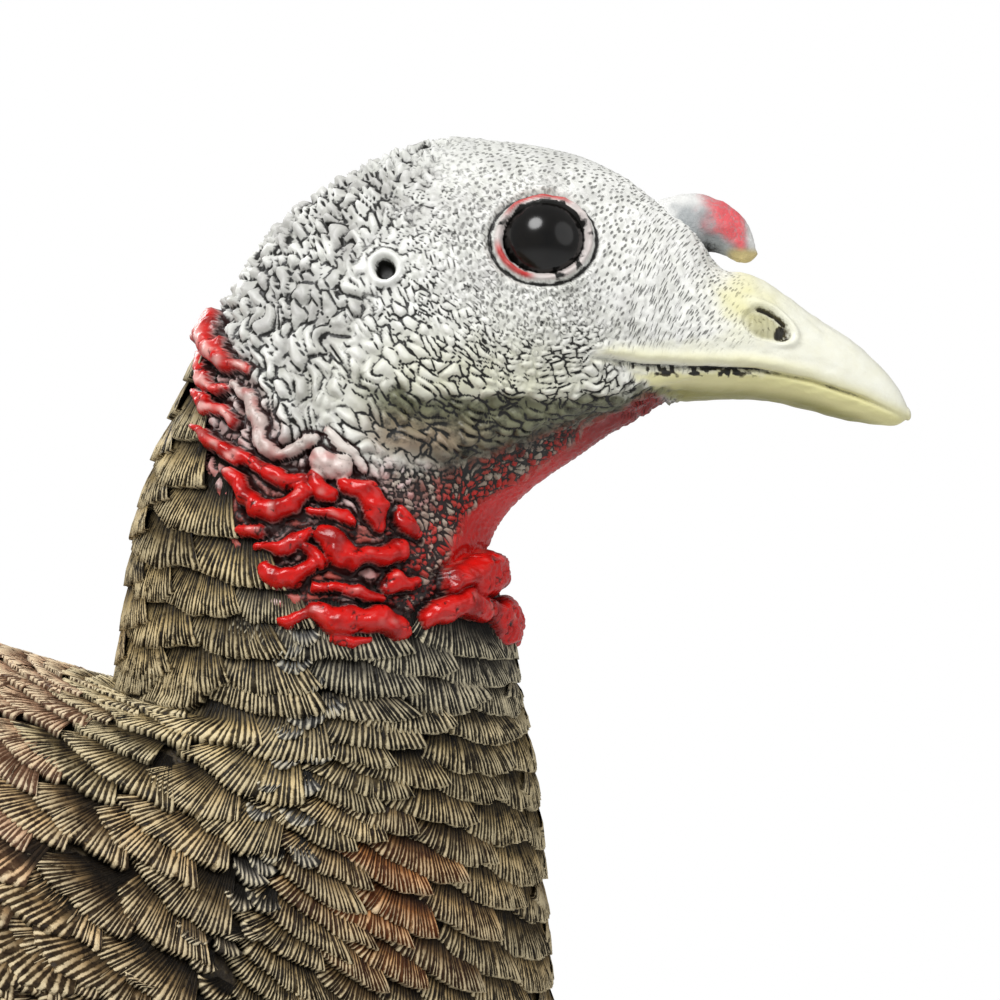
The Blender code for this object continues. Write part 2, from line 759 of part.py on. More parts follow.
def make_tail(finishes, body, shell):
    root, lean = tail_frame()
    columns, rows = 12, 10
    shape = bmesh.new()
    sheets = []
    for lift in (TAIL_THICK / 2, -TAIL_THICK / 2):
        sheet = []
        for i in range(rows + 1):
            t = i / rows
            half = TAIL_ROOT_HALF + (TAIL_TIP_HALF - TAIL_ROOT_HALF) * t
            thin = 1.0 - 0.45 * t
            line = []
            for j in range(columns + 1):
                across = 2 * j / columns - 1
                # The tip is round: its middle feathers are longer than its outer ones.
                reach = 2.0 + (TAIL_LENGTH - 2.0) * t * (1 - 0.12 * across**2)
                arch = TAIL_ARCH * (0.25 + 0.75 * t) * (-(across**2)) + lift * thin
                line.append(shape.verts.new((reach, half * across, arch)))
            sheet.append(line)
        sheets.append(sheet)
    above, below = sheets
    for sheet in sheets:
        for i in range(rows):
            for j in range(columns):
                shape.faces.new((sheet[i][j], sheet[i][j + 1], sheet[i + 1][j + 1], sheet[i + 1][j]))
    rim = [(i, 0) for i in range(rows)] + [(rows, j) for j in range(columns)]
    rim += [(i, columns) for i in range(rows, 0, -1)] + [(0, j) for j in range(columns, 0, -1)]
    for (a, b), (c, d) in zip(rim, rim[1:] + rim[:1]):
        shape.faces.new((above[a][b], above[c][d], below[c][d], below[a][b]))
    tail = put(new_object("tail_fan", shape, finishes["tail_foam"], 40.0), root, lean)

    reach = 6.0
    half, end = TONGUE_HALF, -TONGUE_LENGTH
    tongue_outline = [(end, -half), (reach, -half), (reach, half), (end, half)]
    tongue = new_object("tail_tongue", prism(tongue_outline, -TONGUE_THICK / 2, TONGUE_THICK / 2))
    put(tongue, root, lean)
    combine(tail, tongue, "UNION")

    # The tail's root and the rump's end would cross, so the root is cut to follow the rump.
    outside = (*BODY_STATIONS[13:18], (-313.5, 289.6, -301.5, 278.4, 11.5, 0.0))
    rump = new_object("rump_clearance", loft(outside, 40, 2, -0.8))
    kept, kept_thick = TONGUE_HALF + 0.1, TONGUE_THICK / 2 + 0.1
    keep_outline = [(-60, -kept), (12, -kept), (12, kept), (-60, kept)]
    keeper = new_object("tongue_keeper", prism(keep_outline, -kept_thick, kept_thick))
    put(keeper, root, lean)
    combine(rump, keeper)
    combine(tail, rump)

    for name, side in (("tail_screw_left", 1), ("tail_screw_right", -1)):
        head_drop = -11.0
        spot = (
            Matrix.Translation(Vector(root) * MM)
            @ lean
            @ Matrix.Translation(Vector((-TAIL_SCREW_INSET, -side * TAIL_SCREW_Y, head_drop)) * MM)
            @ Matrix.Rotation(math.pi, 4, "X")
        )
        hole = screw_hole(name + "_hole", 16.0)
        hole.matrix_world = spot
        combine(shell, hole)
        combine(tail, hole)
        screw = socket_screw(name, 15.4, finishes["bright_steel"])
        screw.matrix_world = spot
        keep_parent(screw, body)
    keep_parent(tail, body)


# ---- Head ----------------------------------------------------------------------------------


def swept_lobe(points, grow, segments=14):
    """A round-sectioned lobe along points of (x, z, radius) in the bird's middle plane."""
    shape = bmesh.new()
    rings = []
    for i, (x, z, radius) in enumerate(points):
        before = Vector(points[max(i - 1, 0)][:2])
        after = Vector(points[min(i + 1, len(points) - 1)][:2])
        along = (after - before).normalized()
        across = Vector((-along.y, along.x))
        ring = []
        for k in range(segments):
            turn = math.tau * k / segments
            up = across * (radius + grow) * math.cos(turn)
            ring.append((x + up.x, (radius + grow) * 0.92 * math.sin(turn), z + up.y))
        rings.append(ring)
    skin_rings(shape, rings)
    return shape


def make_head_shell(finishes, head):
    outside = (*HEAD_STATIONS, SEAM_STATION)
    shell = new_object("head_neck_shell", loft(outside, 32, 1), finishes["head_foam"], 60.0)

    around = 20
    hollow = bmesh.new()
    rings = inner_rings(HEAD_STATIONS, around, WALL + 1.0)[15:24:2]
    rings.append(seam_cavity_ring(SEAM_LIP, 5.0, around))
    skin_rings(hollow, rings)
    combine(shell, new_object("head_hollow", hollow))

    place, turn = seam_frame()
    combine(shell, put(new_object("seam_gap", prism(seam_oval(-4.0), -5.0, GAP)), place, turn))
    pocket = put(new_object("plug_pocket", prism(seam_oval(WALL), -10.0, SEAM_POCKET)), place, turn)
    combine(shell, pocket)
    opening = put(new_object("plug_opening", rod(PLUG_BORE_R, 0.0, 20.0, 32)), place, turn)
    combine(shell, opening)
    return keep_parent(shell, head)


def make_neck_plug(finishes, head, shell):
    place, turn = seam_frame()
    flange_bottom, flange_top = GAP, SEAM_POCKET - GAP
    flange = prism(seam_oval(WALL + GAP), flange_bottom, flange_top)
    plug = put(new_object("neck_plug", flange, finishes["black_plastic"]), place, turn)
    stem = turned(
        [
            (0, -PLUG_DEPTH),
            (PLUG_R - 2.0, -PLUG_DEPTH),
            (PLUG_R, -PLUG_DEPTH + 3.0),
            (PLUG_R, flange_bottom + 1.0),
            (0, flange_bottom + 1.0),
        ],
        48,
    )
    combine(plug, put(new_object("plug_stem", stem), place, turn), "UNION")
    combine(plug, put(new_object("plug_bore", rod(PLUG_BORE_R, -PLUG_DEPTH - 5.0, 15.0, 32)), place, turn))
    for i, (x, y) in enumerate(flange_screw_places()):
        # These screws are driven up from the plug's lower face, which shows when the head is off.
        spot = (
            Matrix.Translation(Vector(place) * MM)
            @ turn
            @ Matrix.Translation(Vector((x, y, flange_bottom)) * MM)
            @ Matrix.Rotation(math.pi, 4, "X")
        )
        hole = screw_hole(f"plug_screw_hole_{i + 1}", 8.0)
        hole.matrix_world = spot
        combine(plug, hole)
        combine(shell, hole)
        screw = socket_screw(f"plug_screw_{i + 1}", 7.4, finishes["bright_steel"])
        screw.matrix_world = spot
        keep_parent(screw, head)
    keep_parent(plug, head)


def eye_profile(grow):
    """An eye on its stem, turned about its own axis: a ball with the stem at the back."""
    steps = 10
    radius, stem = EYE_R + grow, EYE_STEM_R + grow
    join = math.asin(stem / radius)
    profile = [(0, radius)]
    for k in range(1, steps + 1):
        a = (math.pi - join) * k / steps
        profile.append((radius * math.sin(a), radius * math.cos(a)))
    tail = -(EYE_AT[1] - EYE_STEM_END) - grow
    return [*profile, (stem, tail), (0, tail)]


def make_eyes(finishes, head, shell):
    for name, side in (("eye_left", 1), ("eye_right", -1)):
        outward = Matrix.Rotation(-side * math.pi / 2, 4, "X")
        place = (EYE_AT[0], side * EYE_AT[1], EYE_AT[2])
        eye = put(new_object(name, turned(eye_profile(0.0), 24), finishes["eye_glass"]), place, outward)
        socket = put(new_object(name + "_socket", turned(eye_profile(GAP), 24)), place, outward)
        combine(shell, socket)
        keep_parent(eye, head)
        ear = new_object(f"ear_{name}", rod(EAR_R, -3.0, 30.0, 12))
        ear_depth = 18.0
        combine(shell, put(ear, (EAR_AT[0], side * ear_depth, EAR_AT[1]), outward))


def make_snood(finishes, head, shell):
    snood = new_object("snood", swept_lobe(SNOOD_POINTS, 0.0), finishes["snood_rubber"])
    combine(shell, new_object("snood_socket", swept_lobe(SNOOD_POINTS, GAP)))
    keep_parent(snood, head)


# ---- Assembly ------------------------------------------------------------------------------


def main():
    clear_scene()
    finishes = make_materials()
    place, turn = seam_frame()
    upright = Matrix.Identity(4)
    swivel_height = PAD_BOTTOM - FLANGE_THICK - GAP
    stake_base = pivot("pivot_stake_base", (0, 0, 0), upright)
    stake_top = pivot("pivot_stake_split", (0, 0, STAKE_SPLIT), upright, stake_base)
    screw_height = swivel_height - 2 * GAP - WASHER_THICK - CLAMP_THICK / 2
    screw_body = pivot("pivot_thumbscrew", (0, 0, screw_height), upright, stake_top)
    washer_body = pivot("pivot_body_swivel", (0, 0, swivel_height), upright, stake_top)
    body = pivot("pivot_body_lift", (0, 0, swivel_height), upright, washer_body)
    ring_body = pivot("pivot_head_turn", place, turn, body)
    head = pivot("pivot_head_release", place, turn, ring_body)

    make_stake(finishes, stake_base, stake_top)
    make_swivel(finishes, stake_top, screw_body, washer_body)
    shell = make_body_shell(finishes, body)
    make_bushing(finishes, body)
    make_neck_collar(finishes, body, shell)
    make_tail(finishes, body, shell)
    make_plug_ring(finishes, ring_body)
    head_shell = make_head_shell(finishes, head)
    make_neck_plug(finishes, head, head_shell)
    make_eyes(finishes, head, head_shell)
    make_snood(finishes, head, head_shell)


main()
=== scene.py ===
"""Visual model of the turkey decoy: head, feathered neck and body, tail, eyes and the stake it stands on.

Lengths in this file are millimetres until a mesh is made. +X is forward, +Y the bird's left, +Z up.
"""

import math

import bpy
import numpy as np
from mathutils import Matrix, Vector


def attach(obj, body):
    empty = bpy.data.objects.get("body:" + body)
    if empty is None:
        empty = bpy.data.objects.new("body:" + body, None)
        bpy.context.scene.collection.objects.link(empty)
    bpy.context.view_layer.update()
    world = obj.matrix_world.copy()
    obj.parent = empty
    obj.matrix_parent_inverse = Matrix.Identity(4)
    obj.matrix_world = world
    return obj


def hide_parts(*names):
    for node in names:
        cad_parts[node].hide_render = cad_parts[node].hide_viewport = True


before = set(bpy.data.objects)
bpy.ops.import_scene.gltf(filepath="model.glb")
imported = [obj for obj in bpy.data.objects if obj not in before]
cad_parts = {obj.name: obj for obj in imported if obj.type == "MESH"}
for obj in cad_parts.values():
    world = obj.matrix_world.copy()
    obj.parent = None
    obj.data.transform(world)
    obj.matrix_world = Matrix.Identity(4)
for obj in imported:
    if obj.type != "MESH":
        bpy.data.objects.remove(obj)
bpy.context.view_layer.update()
MM = 0.001

# ---- The bird's loft ----
# The same slices as in the CAD: upper x, z, lower x, z, half width, bias of the widest place.
# A place on the bird has a t, which counts slices from the bill's tip, and a turn, the angle round the slice.

HEAD_STATIONS = (
    (244.3, 467.8, 244.0, 465.4, 1.3, 0.0),
    (242.6, 471.2, 242.0, 464.4, 2.6, 0.0),
    (239.4, 475.1, 238.4, 464.6, 4.0, 0.0),
    (234.0, 479.4, 232.2, 465.6, 5.6, 0.0),
    (228.6, 482.7, 226.0, 467.3, 6.9, -0.05),
    (222.4, 487.3, 219.0, 468.8, 8.3, -0.1),
    (217.0, 490.8, 212.0, 469.1, 9.6, -0.1),
    (211.6, 493.6, 205.5, 468.8, 11.2, -0.1),
    (205.5, 498.5, 199.8, 468.1, 13.2, -0.05),
    (199.5, 504.0, 195.0, 465.2, 15.4, 0.0),
    (193.5, 508.8, 190.0, 462.4, 17.2, 0.0),
    (186.5, 512.4, 185.4, 459.1, 18.6, 0.0),
    (179.0, 514.4, 181.3, 456.4, 19.6, 0.0),
    (171.0, 515.5, 177.4, 453.6, 20.2, -0.05),
    (162.5, 516.2, 174.0, 450.6, 20.6, -0.05),
    (154.0, 514.4, 171.6, 447.8, 21.0, -0.05),
    (146.0, 510.9, 170.0, 445.2, 21.6, 0.0),
    (138.0, 506.3, 169.1, 442.8, 22.2, 0.0),
    (130.8, 500.4, 168.9, 440.6, 23.0, 0.0),
    (125.0, 492.6, 169.2, 438.6, 23.8, 0.0),
    (119.8, 484.2, 170.0, 436.6, 24.8, 0.0),
    (116.0, 475.4, 171.0, 434.4, 25.8, 0.0),
    (112.6, 466.6, 172.0, 431.6, 26.8, 0.0),
    (108.8, 457.8, 172.8, 428.6, 27.8, 0.0),
    (106.2, 449.0, 173.0, 425.4, 28.6, 0.0),
    (104.4, 440.0, 173.3, 422.2, 29.4, 0.0),
    (103.4, 431.0, 173.8, 418.6, 30.2, 0.0),
)
SEAM_STATION = (102.6, 422.6, 174.4, 415.0, 31.0, 0.0)
BODY_STATIONS = (
    (101.2, 417.0, 176.0, 407.0, 31.8, 0.0),
    (97.0, 418.8, 177.6, 395.0, 33.2, 0.05),
    (90.0, 421.4, 178.8, 379.0, 35.8, 0.1),
    (80.0, 424.6, 180.0, 359.0, 40.5, 0.15),
    (66.0, 428.4, 182.0, 334.0, 49.0, 0.2),
    (48.0, 431.8, 184.0, 305.0, 61.0, 0.2),
    (28.0, 433.4, 182.0, 277.0, 75.0, 0.2),
    (4.0, 432.6, 170.0, 251.0, 88.0, 0.15),
    (-22.0, 428.6, 146.0, 234.0, 98.0, 0.15),
    (-55.0, 420.2, 112.0, 226.0, 105.0, 0.15),
    (-90.0, 408.6, 72.0, 223.6, 107.0, 0.15),
    (-128.0, 393.6, 24.0, 223.6, 105.0, 0.15),
    (-168.0, 375.6, -32.0, 226.4, 99.0, 0.15),
    (-207.0, 356.2, -96.0, 234.0, 89.0, 0.15),
    (-243.0, 336.6, -158.0, 245.4, 75.0, 0.1),
    (-273.0, 319.4, -211.0, 257.0, 58.0, 0.05),
    (-295.0, 306.0, -254.0, 266.4, 41.0, 0.0),
    (-308.0, 296.4, -284.0, 274.0, 24.0, 0.0),
    (-312.0, 289.2, -300.0, 279.8, 10.0, 0.0),
)
STATIONS = np.array((*HEAD_STATIONS, SEAM_STATION, *BODY_STATIONS))
SEAM = float(len(HEAD_STATIONS))
END = float(len(STATIONS) - 1)


def spline(points, t):
    """A smooth curve through points, at places counted in points from the first one."""
    last = len(points) - 1
    t = np.clip(t, 0, last - 1e-6)
    i = np.floor(t).astype(int)
    f = (t - i)[..., None]
    p, q, r, s = (points[np.clip(i + k, 0, last)] for k in (-1, 0, 1, 2))
    return 0.5 * (2 * q + (r - p) * f + (2 * p - 5 * q + 4 * r - s) * f**2 + (3 * q - p - 3 * r + s) * f**3)


def loft_point(t, turn):
    """A point of the smooth bird. turn is 0 at the upper outline and goes down the left side."""
    s = spline(STATIONS, np.asarray(t, float))
    middle_x, middle_z = (s[..., 0] + s[..., 2]) / 2, (s[..., 1] + s[..., 3]) / 2
    reach_x, reach_z = (s[..., 0] - s[..., 2]) / 2, (s[..., 1] - s[..., 3]) / 2
    c, n = np.cos(turn), np.sin(turn)
    side = s[..., 4] * n * (1 + s[..., 5] * c)
    return np.stack([middle_x + reach_x * c, side, middle_z + reach_z * c], axis=-1)


def unit(v):
    return v / np.maximum(np.linalg.norm(v, axis=-1, keepdims=True), 1e-9)


def frame_at(t, turn, point=loft_point):
    """(place, outward normal, mm per unit of t, mm per radian of turn)."""
    dt, da = 0.04, 0.02
    along = (point(t + dt, turn) - point(t - dt, turn)) / (2 * dt)
    across = (point(t, turn + da) - point(t, turn - da)) / (2 * da)
    normal = unit(np.cross(across, along))
    return point(t, turn), normal, np.linalg.norm(along, axis=-1), np.linalg.norm(across, axis=-1)


def scale_at(t, turn, point=loft_point):
    """(mm per unit of t, mm per radian of turn) at one place."""
    _, _, per_t, per_turn = frame_at(np.array([t]), np.array([turn]), point)
    return per_t[0], per_turn[0]


def run_along(points):
    """How far each point of a line lies from its first point, measured along the line."""
    return np.concatenate([[0], np.cumsum(np.linalg.norm(np.diff(points, axis=0), axis=1))])


# ---- Noise ----


def scramble(cell, seed):
    """Three even random numbers for each whole-numbered cell."""
    c = cell.astype(np.int64)
    h = (c[..., 0] * 73856093) ^ (c[..., 1] * 19349663) ^ (c[..., 2] * 83492791) ^ (seed * 2654435761)
    out = []
    for k in (1, 2, 3):
        g = (h + k * 0x9E3779B9) & 0xFFFFFFFF
        g = ((g ^ (g >> 16)) * 0x45D9F3B) & 0xFFFFFFFF
        g = ((g ^ (g >> 16)) * 0x45D9F3B) & 0xFFFFFFFF
        out.append(((g ^ (g >> 16)) & 0xFFFFFF) / float(0x1000000))
    return np.stack(out, axis=-1)


def cells(q, seed):
    """(distance to the nearest cell's middle, to the second nearest, a random number for the cell)."""
    base = np.floor(q)
    near = np.full(q.shape[:-1], 9)
    second = near.copy()
    tag = np.zeros_like(near)
    for dx in (-1, 0, 1):
        for dy in (-1, 0, 1):
            for dz in (-1, 0, 1):
                cell = base + (dx, dy, dz)
                spot = scramble(cell, seed)
                d = np.linalg.norm(cell + 0.12 + 0.76 * spot - q, axis=-1)
                closer = d < near
                second = np.where(closer, near, np.minimum(second, d))
                tag = np.where(closer, spot[..., 0], tag)
                near = np.where(closer, d, near)
    return near, second, tag


def draws(count, row, group):
    """Three random numbers for each feather of a row."""
    return scramble(np.stack([np.arange(count), np.full(count, row), np.full(count, group)], -1), 7)


def noise(q, seed):
    """Smooth noise from -1 to 1."""
    base = np.floor(q)
    f = q - base
    f = f * f * (3 - 2 * f)
    total = np.zeros(q.shape[:-1])
    for dx in (0, 1):
        for dy in (0, 1):
            for dz in (0, 1):
                w = np.abs(1 - dx - f[..., 0]) * np.abs(1 - dy - f[..., 1]) * np.abs(1 - dz - f[..., 2])
                total += w * scramble(base + (dx, dy, dz), seed)[..., 0]
    return 2 * total - 1


def smooth(low, high, v):
    """0 at low and 1 at high, with a soft start and end. low may be the greater one."""
    f = np.clip((v - low) / (high - low), 0, 1)
    return f * f * (3 - 2 * f)


def window(v, a, b, c, d):
    """1 from b to c, and 0 outside a to d."""
    return smooth(a, b, v) * smooth(d, c, v)


def bell(v, width=1):
    """1 where v is 0, falling off over the width on both sides."""
    return np.exp(-((v / width) ** 2))


def patch(x, z, middle, size):
    """1 at a place seen from the side, falling off over size, along x and along z."""
    return np.exp(-(((x - middle[0]) / size[0]) ** 2) - ((z - middle[1]) / size[1]) ** 2)


def line_distance(x, z, points):
    """Distance from each (x, z) to a line of points, and how far along the line that is, 0 to 1."""
    best = np.full(np.shape(x), 1e9)
    share = np.zeros(np.shape(x))
    count = len(points) - 1
    for i in range(count):
        (ax, az), (bx, bz) = points[i][:2], points[i + 1][:2]
        length = (bx - ax) ** 2 + (bz - az) ** 2
        f = np.clip(((x - ax) * (bx - ax) + (z - az) * (bz - az)) / length, 0, 1)
        d = np.hypot(x - ax - f * (bx - ax), z - az - f * (bz - az))
        share = np.where(d < best, (i + f) / count, share)
        best = np.minimum(best, d)
    return best, share


def below_line(x, z, points):
    """Height of a line over each point: above 0 where the point is under the line."""
    xs, zs = zip(*sorted(points))
    return np.interp(x, xs, zs) - z


def inside(x, z, outline):
    """True where (x, z) is inside a closed outline."""
    found = np.zeros(np.shape(x), bool)
    for (ax, az), (bx, bz) in zip(outline, (*outline[1:], outline[0])):
        crosses = (az > z) != (bz > z)
        at = ax + (z - az) * (bx - ax) / (bz - az if bz != az else 1e-9)
        found ^= crosses & (x < at)
    return found


# ---- Colours and meshes ----


def linear(*srgb):
    """A colour given as 0 to 255 screen values, for a shader."""
    c = np.array(srgb, float) / 255
    return np.where(c <= 0.04045, c / 12.92, ((c + 0.055) / 1.055) ** 2.4)


def blend_colour(a, b, share):
    return a + (b - a) * np.asarray(share)[..., None]


class Layers:
    """Colours at many places, each kept by its name and laid over by others. Tuples are screen values."""

    def start(self, shape, **colours):
        for key, colour in colours.items():
            setattr(self, key, np.broadcast_to(linear(*colour), (*shape, 3)))
        return self

    def lay(self, share, **colours):
        for key, colour in colours.items():
            colour = linear(*colour) if isinstance(colour, tuple) else colour
            setattr(self, key, blend_colour(getattr(self, key), colour, share))


def make_mesh(name, points, faces, finish, body, smooth_faces=True, replaces=(), slot=None, **values):
    """A piece from points in mm. values are per point numbers or colours that its finish reads."""
    mesh = bpy.data.meshes.new(name)
    faces = np.asarray(faces, np.int32)
    size = faces.shape[1]
    mesh.vertices.add(len(points))
    mesh.vertices.foreach_set("co", (np.asarray(points) * MM).astype(np.float32).ravel())
    mesh.loops.add(faces.size)
    mesh.loops.foreach_set("vertex_index", faces.ravel())
    mesh.polygons.add(len(faces))
    mesh.polygons.foreach_set("loop_start", np.arange(0, faces.size, size, dtype=np.int32))
    mesh.polygons.foreach_set("use_smooth", np.full(len(faces), smooth_faces))
    mesh.update(calc_edges=True)
    mesh.validate()
    for key, value in values.items():
        value = np.asarray(value, np.float32)
        if value.ndim == 2:
            layer = mesh.attributes.new(key, "FLOAT_COLOR", "POINT")
            rgba = np.concatenate([value, np.ones((len(value), 1), np.float32)], axis=1)
            layer.data.foreach_set("color", rgba.ravel())
        else:
            layer = mesh.attributes.new(key, "FLOAT", "POINT")
            layer.data.foreach_set("value", value.ravel())
    mesh.materials.append(finish)
    made = bpy.data.objects.new(name, mesh)
    bpy.context.scene.collection.objects.link(made)
    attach(made, body)
    if replaces:
        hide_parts(*replaces)
    return made


def grid_faces(rows, columns, closed=False):
    """Quads of a grid of points, row by row. closed: the last column meets the first."""
    r = np.arange(rows - 1)[:, None]
    c = np.arange(columns if closed else columns - 1)[None, :]
    d = (c + 1) % columns
    a, b = r * columns + c, r * columns + d
    return np.stack([a, b, b + columns, a + columns], axis=-1).reshape(-1, 4)


def grid_mesh(name, points, finish, body, closed=True, **settings):
    """A piece from rows of points. closed: each row is a ring."""
    faces = grid_faces(*points.shape[:2], closed=closed)
    return make_mesh(name, points.reshape(-1, 3), faces, finish, body, **settings)


# ---- Finishes ----


class Finish:
    """A small helper that builds a node material and joins its nodes."""

    def __init__(self, name, roughness=0.5, metallic=0, **sockets):
        self.material = bpy.data.materials.new(name)
        self.material.use_nodes = True
        self.tree = self.material.node_tree
        self.shader = self.tree.nodes["Principled BSDF"]
        self.shader.inputs["Roughness"].default_value = roughness
        self.shader.inputs["Metallic"].default_value = metallic
        for key, value in sockets.items():
            self.shader.inputs[key.replace("_", " ")].default_value = value

    def node(self, kind, **inputs):
        made = self.tree.nodes.new("ShaderNode" + kind)
        for key, value in inputs.items():
            self.feed(made.inputs[key.replace("_", " ")], value)
        return made

    def feed(self, socket, value):
        if isinstance(value, bpy.types.NodeSocket):
            self.tree.links.new(value, socket)
        elif isinstance(value, (tuple, list, np.ndarray)) and len(value) == 3 and socket.type == "RGBA":
            socket.default_value = (*[float(v) for v in value], 1)
        else:
            socket.default_value = value

    def place(self):
        return self.node("TexCoord").outputs["Object"]

    def value(self, name, output="Fac"):
        made = self.node("Attribute")
        made.attribute_name = name
        return made.outputs[output]

    def colour(self, name):
        return self.value(name, "Color")

    def maths(self, kind, a, b=0, clamp=False):
        made = self.node("Math")
        made.operation = kind
        made.use_clamp = clamp
        for socket, value in zip(made.inputs, (a, b)):
            self.feed(socket, value)
        return made.outputs[0]

    def plus(self, a, b, clamp=False):
        return self.maths("ADD", a, b, clamp)

    def times(self, a, b):
        return self.maths("MULTIPLY", a, b)

    def wave(self, turns):
        return self.maths("SINE", self.times(turns, math.tau))

    def stray(self, value, amount, middle=0.5):
        """How far a value lies from its middle, times an amount."""
        return self.times(self.maths("SUBTRACT", value, middle), amount)

    def remap(self, value, low, high, to_low=0, to_high=1):
        made = self.node("MapRange", Value=value)
        made.clamp = True
        for key, number in (("From Min", low), ("From Max", high), ("To Min", to_low), ("To Max", to_high)):
            made.inputs[key].default_value = number
        return made.outputs[0]

    def mix(self, share, a, b):
        made = self.tree.nodes.new("ShaderNodeMix")
        made.data_type = "RGBA"
        # Sockets 6 and 7 are the two colours, and output 2 is the mixed one.
        for socket, value in zip((made.inputs["Factor"], made.inputs[6], made.inputs[7]), (share, a, b)):
            self.feed(socket, value)
        return made.outputs[2]

    def texture(self, scale, detail=4, roughness=0.6, vector=None):
        vector = vector or self.place()
        made = self.node("TexNoise", Scale=scale, Detail=detail, Roughness=roughness, Vector=vector)
        return made.outputs["Fac"]

    def bump(self, height, distance, strength):
        return self.node("Bump", Height=height, Distance=distance, Strength=strength).outputs["Normal"]

    def finish(self, colour, roughness, normal):
        for key, value in (("Base Color", colour), ("Roughness", roughness), ("Normal", normal)):
            self.feed(self.shader.inputs[key], value)
        return self.material


def feather_finish():
    """Moulded barbs: dark wash and painted shade in the grooves, and brushed paint with painted light on the
    ridges.
    """
    f = Finish("feathers", 0.5, Specular_IOR_Level=0.17)
    barb, along, chance = f.value("barb"), f.value("along"), f.value("chance")
    ground, paint = f.colour("ground"), f.colour("paint")
    fine = f.texture(1300, 4, 0.65)
    blotch = f.texture(170, 5)
    smear = f.texture(420)
    ragged = f.plus(f.wave(barb), f.stray(fine, 1.9))
    ragged = f.plus(ragged, f.stray(smear, 3.2, 0.47))
    ridge = f.remap(ragged, -0.35, 0.65)
    # Paint brushed onto the ridges, with painted light: brightest on the ridges and toward the free end,
    # darker toward the covered root.
    brushed_and_lit = f.times(ridge, f.remap(blotch, 0.36, 0.6, 0.3, 1))
    brushed_and_lit = f.times(brushed_and_lit, f.remap(along, 0.5, 0.8, 0.35, 1))
    brushed_and_lit = f.times(brushed_and_lit, f.remap(chance, 0, 1, 0.4, 1.15))
    colour = f.mix(f.remap(smear, 0.4, 0.6), ground, f.mix(0.08, ground, paint))
    colour = f.mix(brushed_and_lit, colour, paint)
    # Painted highlight on the ridges near the free end.
    lit_tips = f.times(f.remap(along, 0.68, 0.95), f.remap(ragged, 0, 0.9))
    pale = f.mix(0.7, paint, linear(240, 228, 192))
    colour = f.mix(f.times(lit_tips, 0.8), colour, pale)
    # Where band is above 0 the feather has a dark bar and a pale rim before its free end.
    band = f.value("band")
    edge = f.plus(along, f.stray(fine, 0.12))
    bar = f.times(f.remap(edge, 0.7, 0.76), f.remap(edge, 0.84, 0.9, 1, 0))
    colour = f.mix(f.times(f.times(bar, band), 0.8), colour, linear(26, 19, 14))
    rim = f.times(f.remap(edge, 0.87, 0.93), band)
    rim = f.times(rim, f.remap(ragged, -0.6, 0.5, 0.45, 1))
    colour = f.mix(rim, colour, linear(206, 180, 146))
    colour = f.mix(f.value("shade"), colour, linear(7, 5, 3))
    height = f.plus(f.times(ridge, 0.9), f.times(fine, 0.4))
    return f.finish(colour, f.remap(fine, 0.25, 0.75, 0.36, 0.6), f.bump(height, 0.0005, 0.9))


def skin_finish():
    """Painted bare skin: pale pebbles, black wash and painted shade in the creases, red and yellow places."""
    f = Finish("head_skin", 0.4, Specular_IOR_Level=0.45)
    crease, dots = f.value("crease"), f.value("dots")
    fine = f.texture(1600)
    middle = f.texture(330)
    flat = f.node("TexVoronoi", Scale=1, Randomness=0.85)
    flat.voronoi_dimensions = "2D"
    f.feed(flat.inputs["Vector"], f.colour("flat"))
    pits = f.plus(flat.outputs["Distance"], f.stray(fine, 0.3))
    pit = f.times(f.remap(pits, 0.14, 0.3, 0.8, 0), f.remap(middle, 0.28, 0.5))
    pit = f.times(pit, dots)
    # The crease value carries both a dark wash and painted shade.
    wash = f.plus(crease, f.stray(fine, 0.7), clamp=True)
    wash = f.maths("MAXIMUM", f.remap(wash, 0.26, 0.66), f.times(pit, 0.9))
    paint = f.mix(f.remap(middle, 0.35, 0.7, 0, 0.4), f.colour("paint"), f.colour("tint"))
    colour = f.mix(wash, paint, f.colour("ground"))
    height = f.maths("SUBTRACT", f.times(fine, 0.3), f.times(pit, 0.8))
    normal = f.bump(height, 0.0003, 0.9)
    rough = f.plus(f.value("matte"), f.stray(fine, 0.25), clamp=True)
    return f.finish(colour, rough, normal)


def plain_finish(name, dark, light, roughness, grain, depth, metallic=0, stretch=(1, 1, 1)):
    """A moulded or metal finish with a colour mottled between two screen colours and a fine grain."""
    f = Finish(name, roughness, metallic)
    dark, light = linear(*dark), linear(*light)
    stretched = f.node("Mapping", Vector=f.place(), Scale=stretch).outputs[0]
    fine = f.texture(grain, 5, vector=stretched)
    broad = f.texture(45)
    colour = f.mix(f.remap(broad, 0.3, 0.7), dark, light)
    colour = f.mix(f.remap(fine, 0.3, 0.7, 0, 0.5), colour, dark)
    rough = f.remap(fine, 0.25, 0.75, max(roughness - 0.08, 0.03), roughness + 0.12)
    return f.finish(colour, rough, f.bump(fine, depth, 0.6))


# ---- Feathers ----

QUARTER = math.pi / 2
MOST_FACES = 92000


